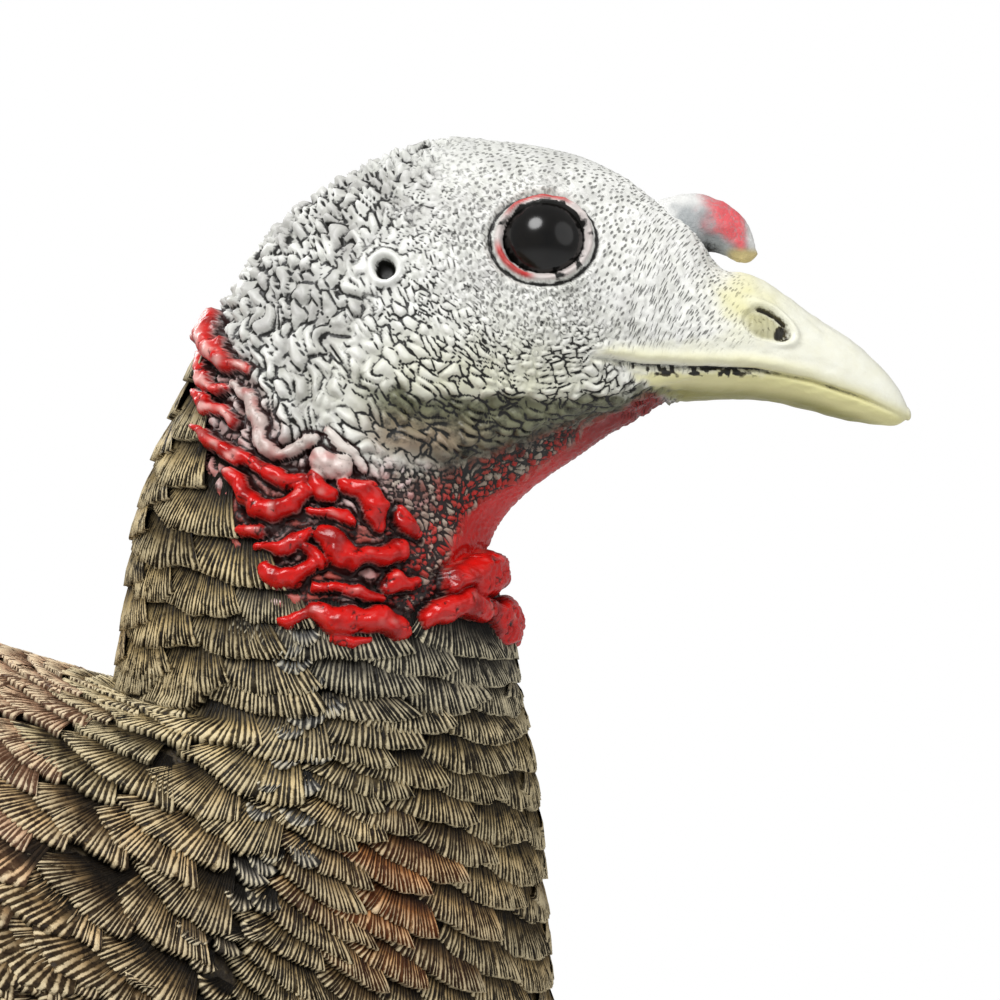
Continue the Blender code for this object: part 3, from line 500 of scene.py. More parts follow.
def feather_ground(p):
    """(dark ground colour, paint colour brushed onto the ridges) of the neck's feathers at each place on the
    bird.
    """
    x, z = p[..., 0], p[..., 2]
    c = Layers().start(x.shape, ground=(22, 16, 8), paint=(206, 180, 126))
    near_skin = smooth(446, 466, z) * smooth(112, 126, x)
    c.lay(near_skin, ground=(26, 26, 25), paint=(156, 152, 134))
    silver = smooth(408, 424, z) * smooth(124, 138, x)
    c.lay(0.8 * silver, ground=(18, 18, 17), paint=(172, 168, 154))
    bronze = smooth(136, 104, x) * smooth(412, 396, z)
    c.lay(0.7 * bronze, ground=(40, 26, 12), paint=(222, 180, 128))
    copper = patch(x, z, (152, 383), (8.5, 10))
    c.lay(np.clip(1.2 * copper, 0, 0.8), ground=(92, 44, 12))
    c.lay(np.clip(1.4 * copper, 0, 0.9), paint=(232, 132, 52))
    chest = smooth(410, 380, z) * smooth(60, 130, x)
    c.lay(0.55 * chest, paint=(176, 146, 100))
    shoulder = smooth(80, 30, x) * smooth(200, 420, z)
    c.lay(0.8 * shoulder, ground=(66, 42, 29))
    c.lay(0.75 * shoulder, paint=(192, 158, 126))
    c.lay(0.6 * smooth(290, 240, z), paint=(178, 158, 122))
    return c.ground, c.paint


def back_colours(p):
    """Brown back, warmer at the shoulder and paler on the belly, with the neck's colours ahead of it."""
    x, z = p[..., 0], p[..., 2]
    warm = noise(p * 0.05, 140)
    c = Layers().start(x.shape, ground=(54, 36, 24), paint=(196, 160, 126))
    c.lay(smooth(-0.3, 0.5, warm), ground=(34, 23, 16))
    c.lay(smooth(-0.4, 0.4, warm), paint=(166, 124, 88))
    mantle = smooth(20, 90, x) * smooth(350, 395, z)
    c.lay(0.7 * mantle, ground=(92, 60, 40))
    c.lay(0.8 * mantle, paint=(222, 176, 142))
    belly = smooth(320, 250, z)
    c.lay(0.7 * belly, ground=(52, 44, 33))
    c.lay(0.75 * belly, paint=(176, 160, 122))
    ground, paint = feather_ground(p)
    fore = smooth(-7, 3, x - 101.7 + 0.45 * (424 - z) + 5 * warm)
    c.lay(np.maximum(fore, smooth(427, 433, z)), ground=ground, paint=paint)
    return c.ground, c.paint


def strip_colours(p):
    """Grey ground and pale paint high on the neck, along the line where the two coats meet."""
    c = Layers()
    c.ground, c.paint = feather_ground(p)
    high = smooth(362, 400, p[..., 2])
    c.lay(0.7 * high, ground=(46, 46, 46))
    c.lay(0.85 * high, paint=(176, 176, 172))
    return c.ground, c.paint


def flight_colours(p):
    c = Layers().start(p.shape[:-1], ground=(52, 38, 28), paint=(186, 164, 132))
    return c.ground, c.paint


class Coat:
    """Collects feathers and becomes one mesh. Every feather is a small curved grid of the same size."""

    def __init__(self, name, columns=19, rows=5, point=loft_point):
        self.name, self.columns, self.rows, self.point = name, columns, rows, point
        self.points = []
        self.values = {key: [] for key in ("barb", "along", "chance", "shade", "band", "ground", "paint")}
        self.count = 0
        self.flip = False

    def add(self, t, turn, length, width, lift=1.2, barbs=11, root=0.5, round_end=0.28, cup=0.35,
            colours=feather_ground, floor=0, sink=-1.1, band=0, flip=False, shadow=0.52):
        """Feathers at each (t, turn), where their free ends are. length and width in mm.

        root is the share of the width that is left at the root, sink the root's height over the surface and
        lift how much higher the free end lies. round_end rounds that end, cup bends the feather across, and
        floor is the least t that it may reach.
        """
        t, turn = (np.atleast_1d(np.asarray(v, float)) for v in (t, turn))
        n = len(t)
        # One value for each feather, ready to meet the feather's own grid.
        length, width, thick = (
            np.broadcast_to(np.asarray(v, float), (n,))[:, None, None] for v in (length, width, lift)
        )
        chance = scramble(np.stack([np.round(t * 37), np.round(turn * 613), np.full(n, 5)], -1), 11)
        first, second, third = (chance[:, k, None, None] for k in range(3))
        grid = np.meshgrid(np.linspace(-1, 1, self.columns), np.linspace(0, 1, self.rows))
        uu, vv = (g[None] for g in grid)

        def uneven(u_scale, v_scale, draw, seed):
            return noise(np.stack(np.broadcast_arrays(uu * u_scale, vv * v_scale, draw), -1), seed)

        _, _, per_t, per_turn = (v[..., None, None] for v in frame_at(t, turn, self.point))
        barb_at = uu * barbs / 2 + 0.6 * uneven(barbs * 0.4, 1.7, second * 61, 9)
        teeth = 0.5 + 0.5 * np.sin(barb_at[:, -1:] * math.tau)
        end = 1 - round_end * np.abs(uu) ** 2.2 - 0.05 * (1 - teeth) + 0.05 * uneven(3.1, 0, first * 97, 3)
        reach = (vv - 1) + (end - 1) * vv**2
        side = uu * (root + (1 - root) * vv) * width / 2
        sway = (second - 0.5) * 0.1 * vv
        at_t = np.maximum(t[:, None, None] + reach * length / per_t, floor)
        place, normal, _, _ = frame_at(at_t, turn[:, None, None] + side / per_turn + sway, self.point)
        normal = -normal if flip else normal
        self.flip = flip
        height = sink + thick * (vv**1.3 - 0.18 * smooth(0.8, 1, vv)) * (1 - cup * uu**2)
        height = height + 0.22 * thick * uu * np.where(np.sin(turn) > 0, 1, -1)[:, None, None]
        deep = 0.5 + 0.5 * uneven(2.2, 1.5, third * 41, 12)
        height = height + (0.08 + 0.3 * deep) * np.sin(barb_at * math.tau) * smooth(0.1, 0.6, vv)
        top = place + normal * height[..., None]
        # The free edge turns down to the feather beneath.
        under = place[:, -1:] + normal[:, -1:] * (height[:, -1:] - 0.9 * thick[:, -1:])[..., None]
        points = np.concatenate([top, under], axis=1)
        self.points.append(points.reshape(-1, 3))
        down = np.concatenate([vv[0, :, :1], [[1]]])
        shade = np.concatenate([0.92 * (1 - smooth(shadow - 0.05, shadow + 0.16, vv[0, :, :1])), [[1]]])
        ground, paint = colours(points[:, self.rows // 2, self.columns // 2])
        grown = {
            "barb": np.concatenate([barb_at, barb_at[:, -1:]], axis=1),
            "along": down,
            "chance": first,
            "band": float(band),
            "shade": shade,
        }
        full = (n, self.rows + 1, self.columns)
        for key, value in grown.items():
            self.values[key].append(np.broadcast_to(value, full).reshape(-1))
        for key, colour in (("ground", ground), ("paint", paint)):
            self.values[key].append(np.broadcast_to(colour[:, None, None], (*full, 3)).reshape(-1, 3))
        self.count += n

    def mesh(self, finish, body, slot=None):
        """Makes the piece, split so that no mesh is too heavy. The slot is not used."""
        per = (self.rows + 1) * self.columns
        face = grid_faces(self.rows + 1, self.columns)
        face = face if self.flip else face[:, ::-1]
        points = np.concatenate(self.points)
        values = {k: np.concatenate(v) for k, v in self.values.items()}
        limit = MOST_FACES // len(face)
        for k, start in enumerate(range(0, self.count, limit)):
            n = min(limit, self.count - start)
            faces = (face[None] + (np.arange(n) * per)[:, None, None]).reshape(-1, 4)
            cut = slice(start * per, (start + n) * per)
            name = self.name if self.count <= limit else f"{self.name}_{k + 1}"
            part = {key: value[cut] for key, value in values.items()}
            make_mesh(name, points[cut], faces, finish, body, slot=slot if k == 0 else None, **part)


# ---- Head skin ----

EYE = (178.6, 496.5)
EYE_SIDE, EYE_R = 14.6, 7.6
LID_LONG, LID_HIGH = 7.0, 5.85
EAR = (150.8, 491.5)
GAPE = ((186.8, 476.0), (196.0, 474.6), (206.0, 474.3), (216.4, 474.0), (226.4, 472.1), (235.6, 469.2),
        (243.9, 465.6))
JAW = ((205.0, 470.4), (196.0, 468.0), (189.0, 467.2), (181.8, 465.4), (171.0, 461.8), (162.0, 459.6),
       (153.0, 460.0), (148.5, 463.6))
CHEEK_EDGE = ((208.0, 472.4), (195.6, 471.0), (184.0, 469.6), (174.5, 469.0), (160.0, 469.2), (150.0, 471.0),
              (141.0, 475.0))
UPPER_BILL = ((216.5, 496.0), (212.0, 491.0), (209.7, 488.4), (209.4, 485.2), (212.2, 481.8), (208.0, 479.4),
              (197.0, 478.6), (188.5, 477.6), (187.5, 476.4), (196.0, 474.6), (206.0, 474.3), (216.4, 474.0),
              (226.4, 472.1), (235.6, 469.2), (248.0, 464.0), (250.0, 500.0))
LOWER_BILL = ((206.0, 474.3), (195.0, 473.6), (197.5, 471.4), (202.0, 469.2), (206.0, 466.0), (248.0, 460.0),
              (246.0, 464.8), (235.6, 469.2), (226.4, 472.1), (216.4, 474.0))
SNOOD_DIP, SNOOD_RISE, BROW, CHEEK = 211.0, (204.0, 498.0), (179.0, 507.5), (165.0, 477.0)
NOSTRIL, NOSTRIL_LEAN = (218.3, 482.0), math.radians(-24)
FEATHER_LINE = ((113.0, 481.5), (117.9, 478.9), (117.5, 463.6), (124.2, 445.6), (133.2, 429.4),
                (142.0, 426.0), (158.0, 425.4), (176.0, 425.8))
THROAT_EDGE = ((198.0, 467.5), (188.0, 460.5), (181.0, 455.5), (175.0, 450.0), (171.0, 445.0), (168.7, 439.0))


def past_feather_line(x, z):
    """Above 0 on bare skin, in mm from the edge of the feathers; below 0 where feathers grow."""
    distance, _ = line_distance(x, z, FEATHER_LINE)
    area = (*FEATHER_LINE, (260, 425.8), (260, 600), (113, 600))
    return np.where(inside(x, z, area), distance, -distance)


FOLDS = (
    ((119.8, 483.3, 1.4), (119.1, 480.0, 1.7), (120.7, 477.3, 1.6), (123.3, 474.5, 1.5), (126.7, 474.1, 0.8)),
    ((118.0, 476.4, 0.7), (118.5, 472.2, 1.1), (120.3, 470.4, 1.0), (122.8, 470.4, 0.6)),
    ((117.9, 469.5, 0.9), (120.3, 467.0, 1.2), (122.6, 467.0, 1.2), (124.6, 464.7, 1.0)),
    ((118.0, 463.3, 1.0), (120.7, 461.0, 1.3), (124.0, 458.9, 1.3), (127.2, 457.9, 1.1), (130.8, 455.9, 1.4),
     (134.1, 454.3, 1.4), (136.8, 455.0, 1.0)),
    ((138.9, 455.2, 1.3), (140.0, 452.9, 1.6), (142.1, 452.0, 1.2)),
    ((144.6, 453.6, 1.4), (147.4, 452.5, 1.9), (149.2, 449.5, 1.9), (149.9, 447.0, 1.1)),
    ((124.2, 455.5, 1.3), (126.5, 452.5, 1.6), (128.8, 450.0, 1.8), (132.0, 448.6, 1.8), (135.0, 449.5, 1.7),
     (136.9, 452.5, 1.6)),
    ((126.7, 445.4, 1.2), (129.7, 445.4, 1.1)),
    ((129.0, 442.8, 0.6), (133.1, 442.6, 1.3), (136.4, 443.8, 1.4), (138.3, 445.8, 0.9)),
    ((130.8, 439.6, 1.2), (132.9, 437.6, 1.7), (135.4, 437.6, 1.7), (138.4, 439.6, 1.1)),
    ((141.0, 445.1, 1.6), (142.8, 442.4, 2.0), (145.8, 440.5, 2.0), (148.5, 441.5, 1.7), (151.3, 441.7, 2.0),
     (153.6, 442.2, 1.7)),
    ((153.3, 449.3, 0.9), (154.3, 446.5, 1.5), (156.8, 444.9, 0.9)),
    ((139.1, 436.2, 0.7), (142.8, 436.2, 0.9), (146.5, 435.3, 1.0), (150.1, 433.9, 0.8)),
    ((151.1, 436.0, 1.2), (153.1, 437.1, 1.7), (155.6, 436.6, 1.4)),
    ((138.7, 431.6, 1.6), (142.8, 430.4, 2.3), (146.5, 430.7, 2.0), (150.1, 430.0, 2.3), (153.8, 428.8, 1.8)),
    ((142.8, 427.7, 1.2), (145.5, 426.8, 1.3), (147.8, 426.8, 0.8)),
    ((134.1, 429.8, 1.0), (137.3, 431.1, 1.2)),
    ((158.6, 430.4, 1.7), (162.1, 432.3, 2.2), (165.3, 433.0, 2.3), (168.7, 431.4, 1.8)),
    ((170.6, 431.4, 1.8), (172.4, 428.8, 1.7), (172.6, 425.9, 1.2)),
    ((163.5, 437.3, 2.3), (167.1, 438.7, 2.8), (168.5, 436.0, 2.2)),
    ((138.2, 442.2, 1.1), (140.3, 440.3, 1.1)),
    ((138.4, 449.3, 0.7), (141.9, 449.0, 0.9), (145.1, 447.7, 0.9)),
)
PALE_FOLDS = (
    ((124.4, 470.9, 0.8), (127.2, 468.6, 1.0), (128.6, 464.9, 1.3), (129.5, 461.2, 1.3), (132.2, 458.9, 1.1),
     (135.4, 459.4, 1.2), (138.4, 461.2, 1.4)),
    ((140.5, 457.4, 2.2), (143.7, 456.6, 2.1)),
    ((141.0, 463.3, 0.6), (143.2, 460.8, 0.8), (145.8, 459.1, 0.8), (147.5, 456.4, 0.6)),
)


def fold_relief(x, y, z, folds):
    """(height in mm, how near the middle of a fold, how near its edge) on the neck."""
    q = np.stack([x, y, z], -1)
    x = x + 0.8 * noise(q * 0.4, 101)
    z = z + 0.8 * noise(q * 0.4, 102)
    height, core, edge = np.zeros_like(x), np.zeros_like(x), np.zeros_like(x)
    for fold in folds:
        distance, share = line_distance(x, z, fold)
        radius = np.interp(share * (len(fold) - 1), np.arange(len(fold)), [p[2] for p in fold]) * 1.12
        dome = np.sqrt(np.clip(1 - (distance / radius) ** 2, 0, 1))
        here = 1.45 * radius * dome
        core = np.where(here > height, dome, core)
        height = np.maximum(height, here)
        edge = np.maximum(edge, bell(distance - radius * 1.08, 0.34 + 0.2 * radius))
    return height, core, edge * (1 - smooth(0.15, 0.45, core))


def from_crack(gap, base):
    """How far in mm each place lies from the nearest crack, judged by how fast the gap grows around it."""
    steepness = 0
    for axis in (0, 1):
        step = np.linalg.norm(np.diff(base, axis=axis), axis=-1)
        change = np.abs(np.diff(gap, axis=axis)) / np.maximum(step, 1e-6)
        ends = np.zeros((2, 2), int)
        ends[axis] = (1, 0)
        change = np.maximum(np.pad(change, ends, "edge"), np.pad(change, ends[:, ::-1], "edge"))
        steepness = steepness + change**2
    return gap / np.maximum(np.sqrt(steepness), 0.05)


def bill_share(x, z, q):
    """1 on the bill and 0 off it, with a slightly uneven border."""
    edge = 0.7 * noise(q * 0.8, 4)
    share = 0 * x
    for outline in (UPPER_BILL, LOWER_BILL):
        border, _ = line_distance(x + edge, z + edge, (*outline, outline[0]))
        border = np.where(inside(x + edge, z + edge, outline), border, -border)
        share = np.maximum(share, smooth(-1.3, 1.1, border))
    return np.maximum(share, smooth(218, 220, x))


class HeadSkin:
    """The head's skin at many places at once: each place's height over the loft, its creases and its colours.

    The steps run in the order in which relief() and colours() call them.
    """

    def __init__(self, base, normal):
        x, y, z = (base[..., k] for k in range(3))
        self.q, self.x, self.y, self.z = base, x, y, z
        self.sideways = np.abs(normal[..., 1])
        self.side = smooth(0.15, 0.5, self.sideways)
        dx, dz = x - EYE[0], z - EYE[1]
        self.from_eye, self.round_eye = np.hypot(dx, dz), np.arctan2(dz, dx)
        lid = np.where(self.side > 0, np.hypot(dx / LID_LONG, dz / LID_HIGH), 9)
        self.lid = lid + (1 - self.side) * 6
        self.ear = np.hypot(x - EAR[0], z - EAR[1]) + (1 - self.side) * 20
        self.under_jaw = below_line(x, z, JAW)
        self.under_cheek = below_line(x, z, CHEEK_EDGE)
        self.over_gape = -below_line(x, z, GAPE)
        self.rough = rough = self.noise(0.45, 21)
        self.throat = smooth(0.5, 5, self.under_jaw) * window(x, 147, 153, 198, 206)
        self.bill = bill_share(x, z, base)
        self.back = smooth(-5, 5, 143 - x + 0.35 * (z - 470) + 5 * rough)
        self.back = self.back * smooth(440, 460, z) * smooth(2, 8, self.ear)
        self.near_face = smooth(182, 199, x + 0.3 * (z - 485) + 3 * rough) * smooth(470, 476, z)
        self.calm = 1 - 0.55 * smooth(504, 511, z) * smooth(150, 165, x)

    def noise(self, scale, seed):
        return noise(self.q * scale, seed)

    def darken(self, share):
        """Dark wash and painted shade where share is above what is there already."""
        self.crease = np.maximum(self.crease, share)

    def pebbles(self):
        """Pebbles in rings round the eye, grains on the throat and long wrinkles behind the ear."""
        warp = np.stack([self.noise(0.33, seed) for seed in (31, 32, 33)], -1)
        w = self.q + warp * 1.1
        reach = np.maximum(np.hypot(w[..., 0] - EYE[0], w[..., 2] - EYE[1]), 4)
        angle = np.arctan2(w[..., 2] - EYE[1], -(w[..., 0] - EYE[0]))
        turns = np.stack([np.log(reach) * 20, angle * 9.6, w[..., 1] * 7 / np.maximum(reach, 16)], -1)
        first, second, tag = cells(turns, 5)
        gap = second - first
        size = smooth(9, 46, self.from_eye)
        pebble = smooth(0, 0.5, gap) * (0.7 + 0.6 * tag)
        broken = smooth(-0.75, 0.1, self.noise(0.9, 78) + 0.5 * self.noise(0.25, 79))
        crease = 1 - smooth(0.05, 0.3 + 0.1 * self.rough + 0.14 * size, from_crack(gap, self.q))
        crease = crease * (0.2 + 0.8 * broken)

        first, second, self.grain_tag = cells(w * (0.74, 0.74, 0.8), 8)
        self.grain = smooth(0.05, 0.6, second - first)
        grain_crease = 1 - smooth(0.04, 0.3, second - first)

        bent = w + 1.6 * np.stack([self.noise(0.2, seed) for seed in (34, 35, 36)], -1)
        wrinkle_at = np.stack([bent[..., 0] * 0.5 + bent[..., 2] * 0.19, bent[..., 1] * 0.3,
                               bent[..., 2] * 0.14 - bent[..., 0] * 0.07], -1)
        first, second, _ = cells(wrinkle_at, 17)
        wrinkle_gap = second - first
        wrinkle = smooth(0, 0.5, wrinkle_gap)
        wrinkle_crease = 1 - smooth(0.06, 0.5 + 0.15 * self.rough, from_crack(wrinkle_gap, self.q))
        wrinkle_crease = wrinkle_crease * (0.35 + 0.65 * broken)

        pebbly = (1 - self.throat) * (1 - self.near_face) * (1 - self.bill) * self.calm
        self.height = pebbly * (0.3 + 0.75 * size**1.3) * (pebble - 0.6) * (1 - 0.5 * self.back)
        self.height = self.height + self.back * (1 - self.bill) * 1.5 * (wrinkle - 0.7)
        self.height = self.height + self.throat * 0.75 * (self.grain - 0.5)
        # Dark wash and painted shade in the cracks between the pebbles and the wrinkles.
        self.crease = pebbly * crease * (0.52 + 0.48 * smooth(10, 28, self.from_eye + 4 * self.rough))
        self.crease = np.maximum(self.crease * (1 - 0.75 * self.back), self.back * wrinkle_crease)
        self.darken(self.throat * grain_crease * 0.95)
        # Painted shade that greys the white toward each crack.
        self.crack_shade = 1 - smooth(0, 0.42, np.where(self.back > 0.5, wrinkle_gap, gap))

    def swollen_folds(self):
        """Red and pale folds that stand out on the neck, with creases across them and painted shade in the
        gaps between.
        """
        fold, core, edge = fold_relief(self.x, self.y, self.z, FOLDS)
        pale_fold, pale_core, pale_edge = fold_relief(self.x, self.y, self.z, PALE_FOLDS)
        self.is_pale = pale_fold > fold
        fold, self.core = np.maximum(fold, 0.7 * pale_fold), np.maximum(core, pale_core)
        self.in_fold = smooth(0, 0.35, self.core) * np.where(self.is_pale, 0.62, 1)
        self.fold_edge = np.maximum(edge, pale_edge) * (1 - self.in_fold)
        lumps = 0.3 * self.noise(0.9, 111) + 0.12 * self.noise(2, 112)
        self.height = self.height * (1 - self.in_fold) + fold + self.in_fold * lumps - 0.7 * self.fold_edge
        line = smooth(0.11, 0.02, np.abs(self.noise((0.75, 0.75, 0.5), 113)))
        line = self.in_fold * line * smooth(-0.5, 0.1, self.rough)
        self.height = self.height - 0.4 * line
        # Painted shade in the gaps round each fold, and a dark wash in the creases across them.
        self.crease = np.maximum(self.crease * (1 - self.in_fold), np.maximum(self.fold_edge, 0.6 * line))

    def brow_and_jaw(self):
        """The dip and the rise where the snood grows, the brow, the cheek and the shaded steps under it."""
        x, z, side, rough, under_jaw = self.x, self.z, self.side, self.rough, self.under_jaw
        height = self.height - 1.3 * bell(x - SNOOD_DIP, 4.5) * smooth(486, 494, z)
        height = height + 1.5 * patch(x, z, SNOOD_RISE, (5.5, 5)) * smooth(12, 6, np.abs(self.y))
        height = height + side * 0.9 * patch(x, z, BROW, (9, 3.2))
        height = height + side * 1.7 * patch(x, z, CHEEK, (15, 10))
        step = smooth(4, 0, np.abs(under_jaw + 1.4)) * window(x, 149, 156, 196, 204) * side
        hollow = side * smooth(-1, 4.5, under_jaw) * window(x, 152, 160, 198, 206)
        height = height + 1.1 * step - 0.9 * hollow
        shadow = smooth(-1.5, 2, under_jaw + 1.2 * rough) * window(x, 154, 166, 203, 209)
        chin = smooth(4.6, 6.4, 0.8 * rough - self.over_gape) * window(x, 189, 195, 206, 209)
        self.jaw_shadow = np.maximum(shadow, chin)
        # The cheek stands out over a darker, olive strip that runs back from the corner of the bill; the
        # strip's darkness is painted shade under the cheek.
        shaded = window(x, 143, 153, 202, 208) * side * (1 - self.in_fold)
        height = height + 0.7 * shaded * bell(self.under_cheek + 1.3, 1.5) * smooth(160, 175, x)
        self.shaded = shaded * smooth(-1, 1.4, self.under_cheek + 1.3 * rough)
        self.height = height - 0.7 * self.shaded * smooth(12, 6, self.under_cheek)
        self.darken(self.shaded * (0.3 + 0.35 * self.noise(0.7, 48)) * smooth(13, 8, self.under_cheek))

    def ear_hole(self):
        """The ear's raised rim and its hole, with painted shade in the hole and round the rim's foot, and the
        painted shadow under the jaw.
        """
        self.ear = ear = self.ear + 0.2 * self.rough
        self.height = self.height * smooth(2.6, 4, ear) + bell(ear - 2.6, 0.6) - 3 * smooth(2.1, 1.2, ear)
        self.crease = self.crease * smooth(2.8, 4, ear)
        self.darken(0.8 * smooth(2, 1.6, ear))
        self.darken(0.7 * bell(ear - 3.7, 0.3) * smooth(-0.3, 0.3, self.noise(0.6, 47)))
        self.darken(self.jaw_shadow * (0.42 + 0.3 * self.noise(0.8, 46)) * smooth(9, 4, self.under_jaw))

    def eyelids(self):
        """Lids that lean on the ball and a groove round them. Inside them the skin dives behind the ball."""
        lid = self.lid
        opening = np.where(self.from_eye > 0.01, self.from_eye / np.maximum(lid, 0.01), LID_HIGH)
        depth = EYE_SIDE - np.abs(self.y)
        ball_edge = depth + np.sqrt(np.maximum(EYE_R**2 - opening**2, 0))
        ball_here = depth + np.sqrt(np.maximum(EYE_R**2 - self.from_eye**2, 0))
        self.height = self.height * (1 - smooth(1.6, 1.3, lid))
        relief = np.clip(ball_edge, 0.1, 2.4) * bell(lid - 1, 0.3) + 0.8 * bell(lid - 1.15, 0.085)
        relief = relief - 0.8 * bell(lid - 1.36, 0.085) + 0.3 * bell(lid - 1.55, 0.1)
        relief = relief + 0.3 * self.noise(1.1, 40) * smooth(1, 1.1, lid)
        behind = np.minimum(ball_here, ball_edge) - 0.2 - 4 * (1 - lid)
        self.height = np.where(lid < 1, behind, self.height + relief * (lid < 2.4))
        # Dark wash and painted shade in the groove round the lids and where they meet the ball.
        wide = 0.05 + 0.05 * smooth(-0.5, 0.5, self.noise(0.9, 41))
        crease = bell(lid - 1.37, wide) + smooth(1.04, 0.99, lid)
        crease = crease + 0.5 * smooth(0.2, 0.7, self.noise(1.7, 42)) * smooth(1.3, 1.4, lid)
        self.lids = smooth(1.5, 1.32, lid)
        self.crease = np.maximum(self.crease * (1 - self.lids), np.clip(crease, 0, 1) * self.lids)

    def bill_relief(self):
        """Gape, lip, nostril and the ridge of the bill."""
        x, z, side, bill, over_gape = self.x, self.z, self.side, self.bill, self.over_gape
        gape_distance, _ = line_distance(x, z, GAPE)
        slit = bell(gape_distance, 0.42) * smooth(185, 189, x) * side
        self.lip = bell(1.9 - over_gape, 1.1) * window(x, 186, 190, 214, 236) * side
        height = self.height - 0.9 * slit + 0.7 * self.lip
        c, n = math.cos(NOSTRIL_LEAN), math.sin(NOSTRIL_LEAN)
        a = (x - NOSTRIL[0]) * c + (z - NOSTRIL[1]) * n
        b = -(x - NOSTRIL[0]) * n + (z - NOSTRIL[1]) * c
        self.nostril = nostril = np.hypot(a / 4.6, b / (2.7 - 0.1 * a)) + (1 - side) * 5
        arc = np.arctan2(b, a)
        roof = smooth(2.9, 2.2, arc) * smooth(-0.9, -0.2, arc)
        rim = bell(nostril - 0.98, 0.085) * roof * (0.6 + 0.4 * smooth(-0.4, 0.4, self.noise(1.2, 65)))
        height = height + 0.7 * bell(nostril - 1.25, 0.2) * roof
        height = height - 1 * smooth(1.05, 0.85, nostril) - 0.9 * rim
        height = height + 0.75 * bell(np.hypot((a + 1.2) / 2.4, (b + 0.8) / 1.5)) * (nostril < 1.1)
        height = height + 0.15 * np.sin(a * 5 + b * 2) * smooth(0.95, 0.7, nostril)
        opening = np.hypot((a - 3) / 1, (b - 0.1) / 1.5) + (1 - side) * 5
        height = height + 0.5 * bill * bell(np.abs(self.y), 3.2) * smooth(474, 480, z)
        height = height + bill * 0.12 * self.noise((0.5, 0.9, 0.9), 52)
        # A row of dark dots under the gape, near its corner.
        dots = bell(np.maximum(-over_gape - 0.5, 0), 0.9) * (over_gape < 0.2) * smooth(188, 196, x)
        dots = dots * smooth(220, 212, x) * smooth(-0.1, 0.35, self.noise((1.3, 1.3, 1.7), 61))
        dots = dots * side * (gape_distance < 3)
        faint = 0.62 * (0.55 + 0.45 * self.noise(0.6, 62))
        dark = np.maximum(slit * smooth(243, 232, x) * np.where(x > 219, faint, 0.9), 0.9 * rim)
        dark = np.maximum(dark, 0.85 * smooth(1.3, 0.8, opening))
        dark = np.maximum(dark, 0.45 * smooth(0.9, 0.5, nostril) * smooth(0, 0.6, self.noise(2.2, 64)))
        self.bill_dark = dark = np.maximum(dark, dots)
        self.crease = np.maximum(self.crease * (1 - bill), np.maximum(dark * bill, dots))
        self.height = height * (1 - 0.85 * smooth(233, 243, x))

    def lay(self, share, **colours):
        """Lays screen colours over the paint, the tint that mottles it, or the ground in the creases."""
        for key, colour in colours.items():
            colour = linear(*colour) if isinstance(colour, tuple) else colour
            setattr(self, key, blend_colour(getattr(self, key), colour, share))

    def paint_face(self):
        """White with painted shade greying it toward each crack, grey over the nape and round the eye, olive
        under the cheek with painted shade.
        """
        x, z = self.x, self.z
        off_bill = 1 - self.bill
        crack_shade = self.crack_shade * (1 - self.near_face) * smooth(2.6, 3.8, self.ear)
        self.lay(0.55 * crack_shade * off_bill * self.calm, paint=(142, 142, 137))
        # Grey patches, most over the nape and round the eye.
        grey_patches = smooth(-0.25, 0.6, self.noise((0.3, 0.3, 0.2), 74) + 0.25 * self.back)
        grey_patches = grey_patches * np.clip(0.6 * self.back + 0.3 * smooth(30, 14, self.from_eye), 0, 1)
        self.lay(grey_patches * smooth(2.8, 4, self.ear) * off_bill, paint=(150, 147, 144))
        cheek = patch(x, z, (168, 470), (22, 9))
        self.lay(np.clip(1.2 * cheek, 0, 0.85), tint=(186, 184, 138))
        self.lay(0.6 * cheek, paint=(214, 214, 186))
        self.crown = smooth(506, 514, z) * smooth(196, 188, x)
        self.lay(0.5 * self.crown, paint=(205, 206, 202))
        # Olive paint, darkened as painted shade under the cheek.
        warmer = smooth(2, 8, self.under_cheek) * smooth(176, 160, x)
        olive = blend_colour(linear(98, 100, 68), linear(138, 116, 90), warmer)
        self.lay(0.92 * self.shaded * smooth(14, 9, self.under_cheek), paint=olive)
        self.lay(0.8 * self.shaded, tint=(84, 84, 56))
        self.lay(self.jaw_shadow, paint=(92, 94, 72), tint=(70, 68, 48))

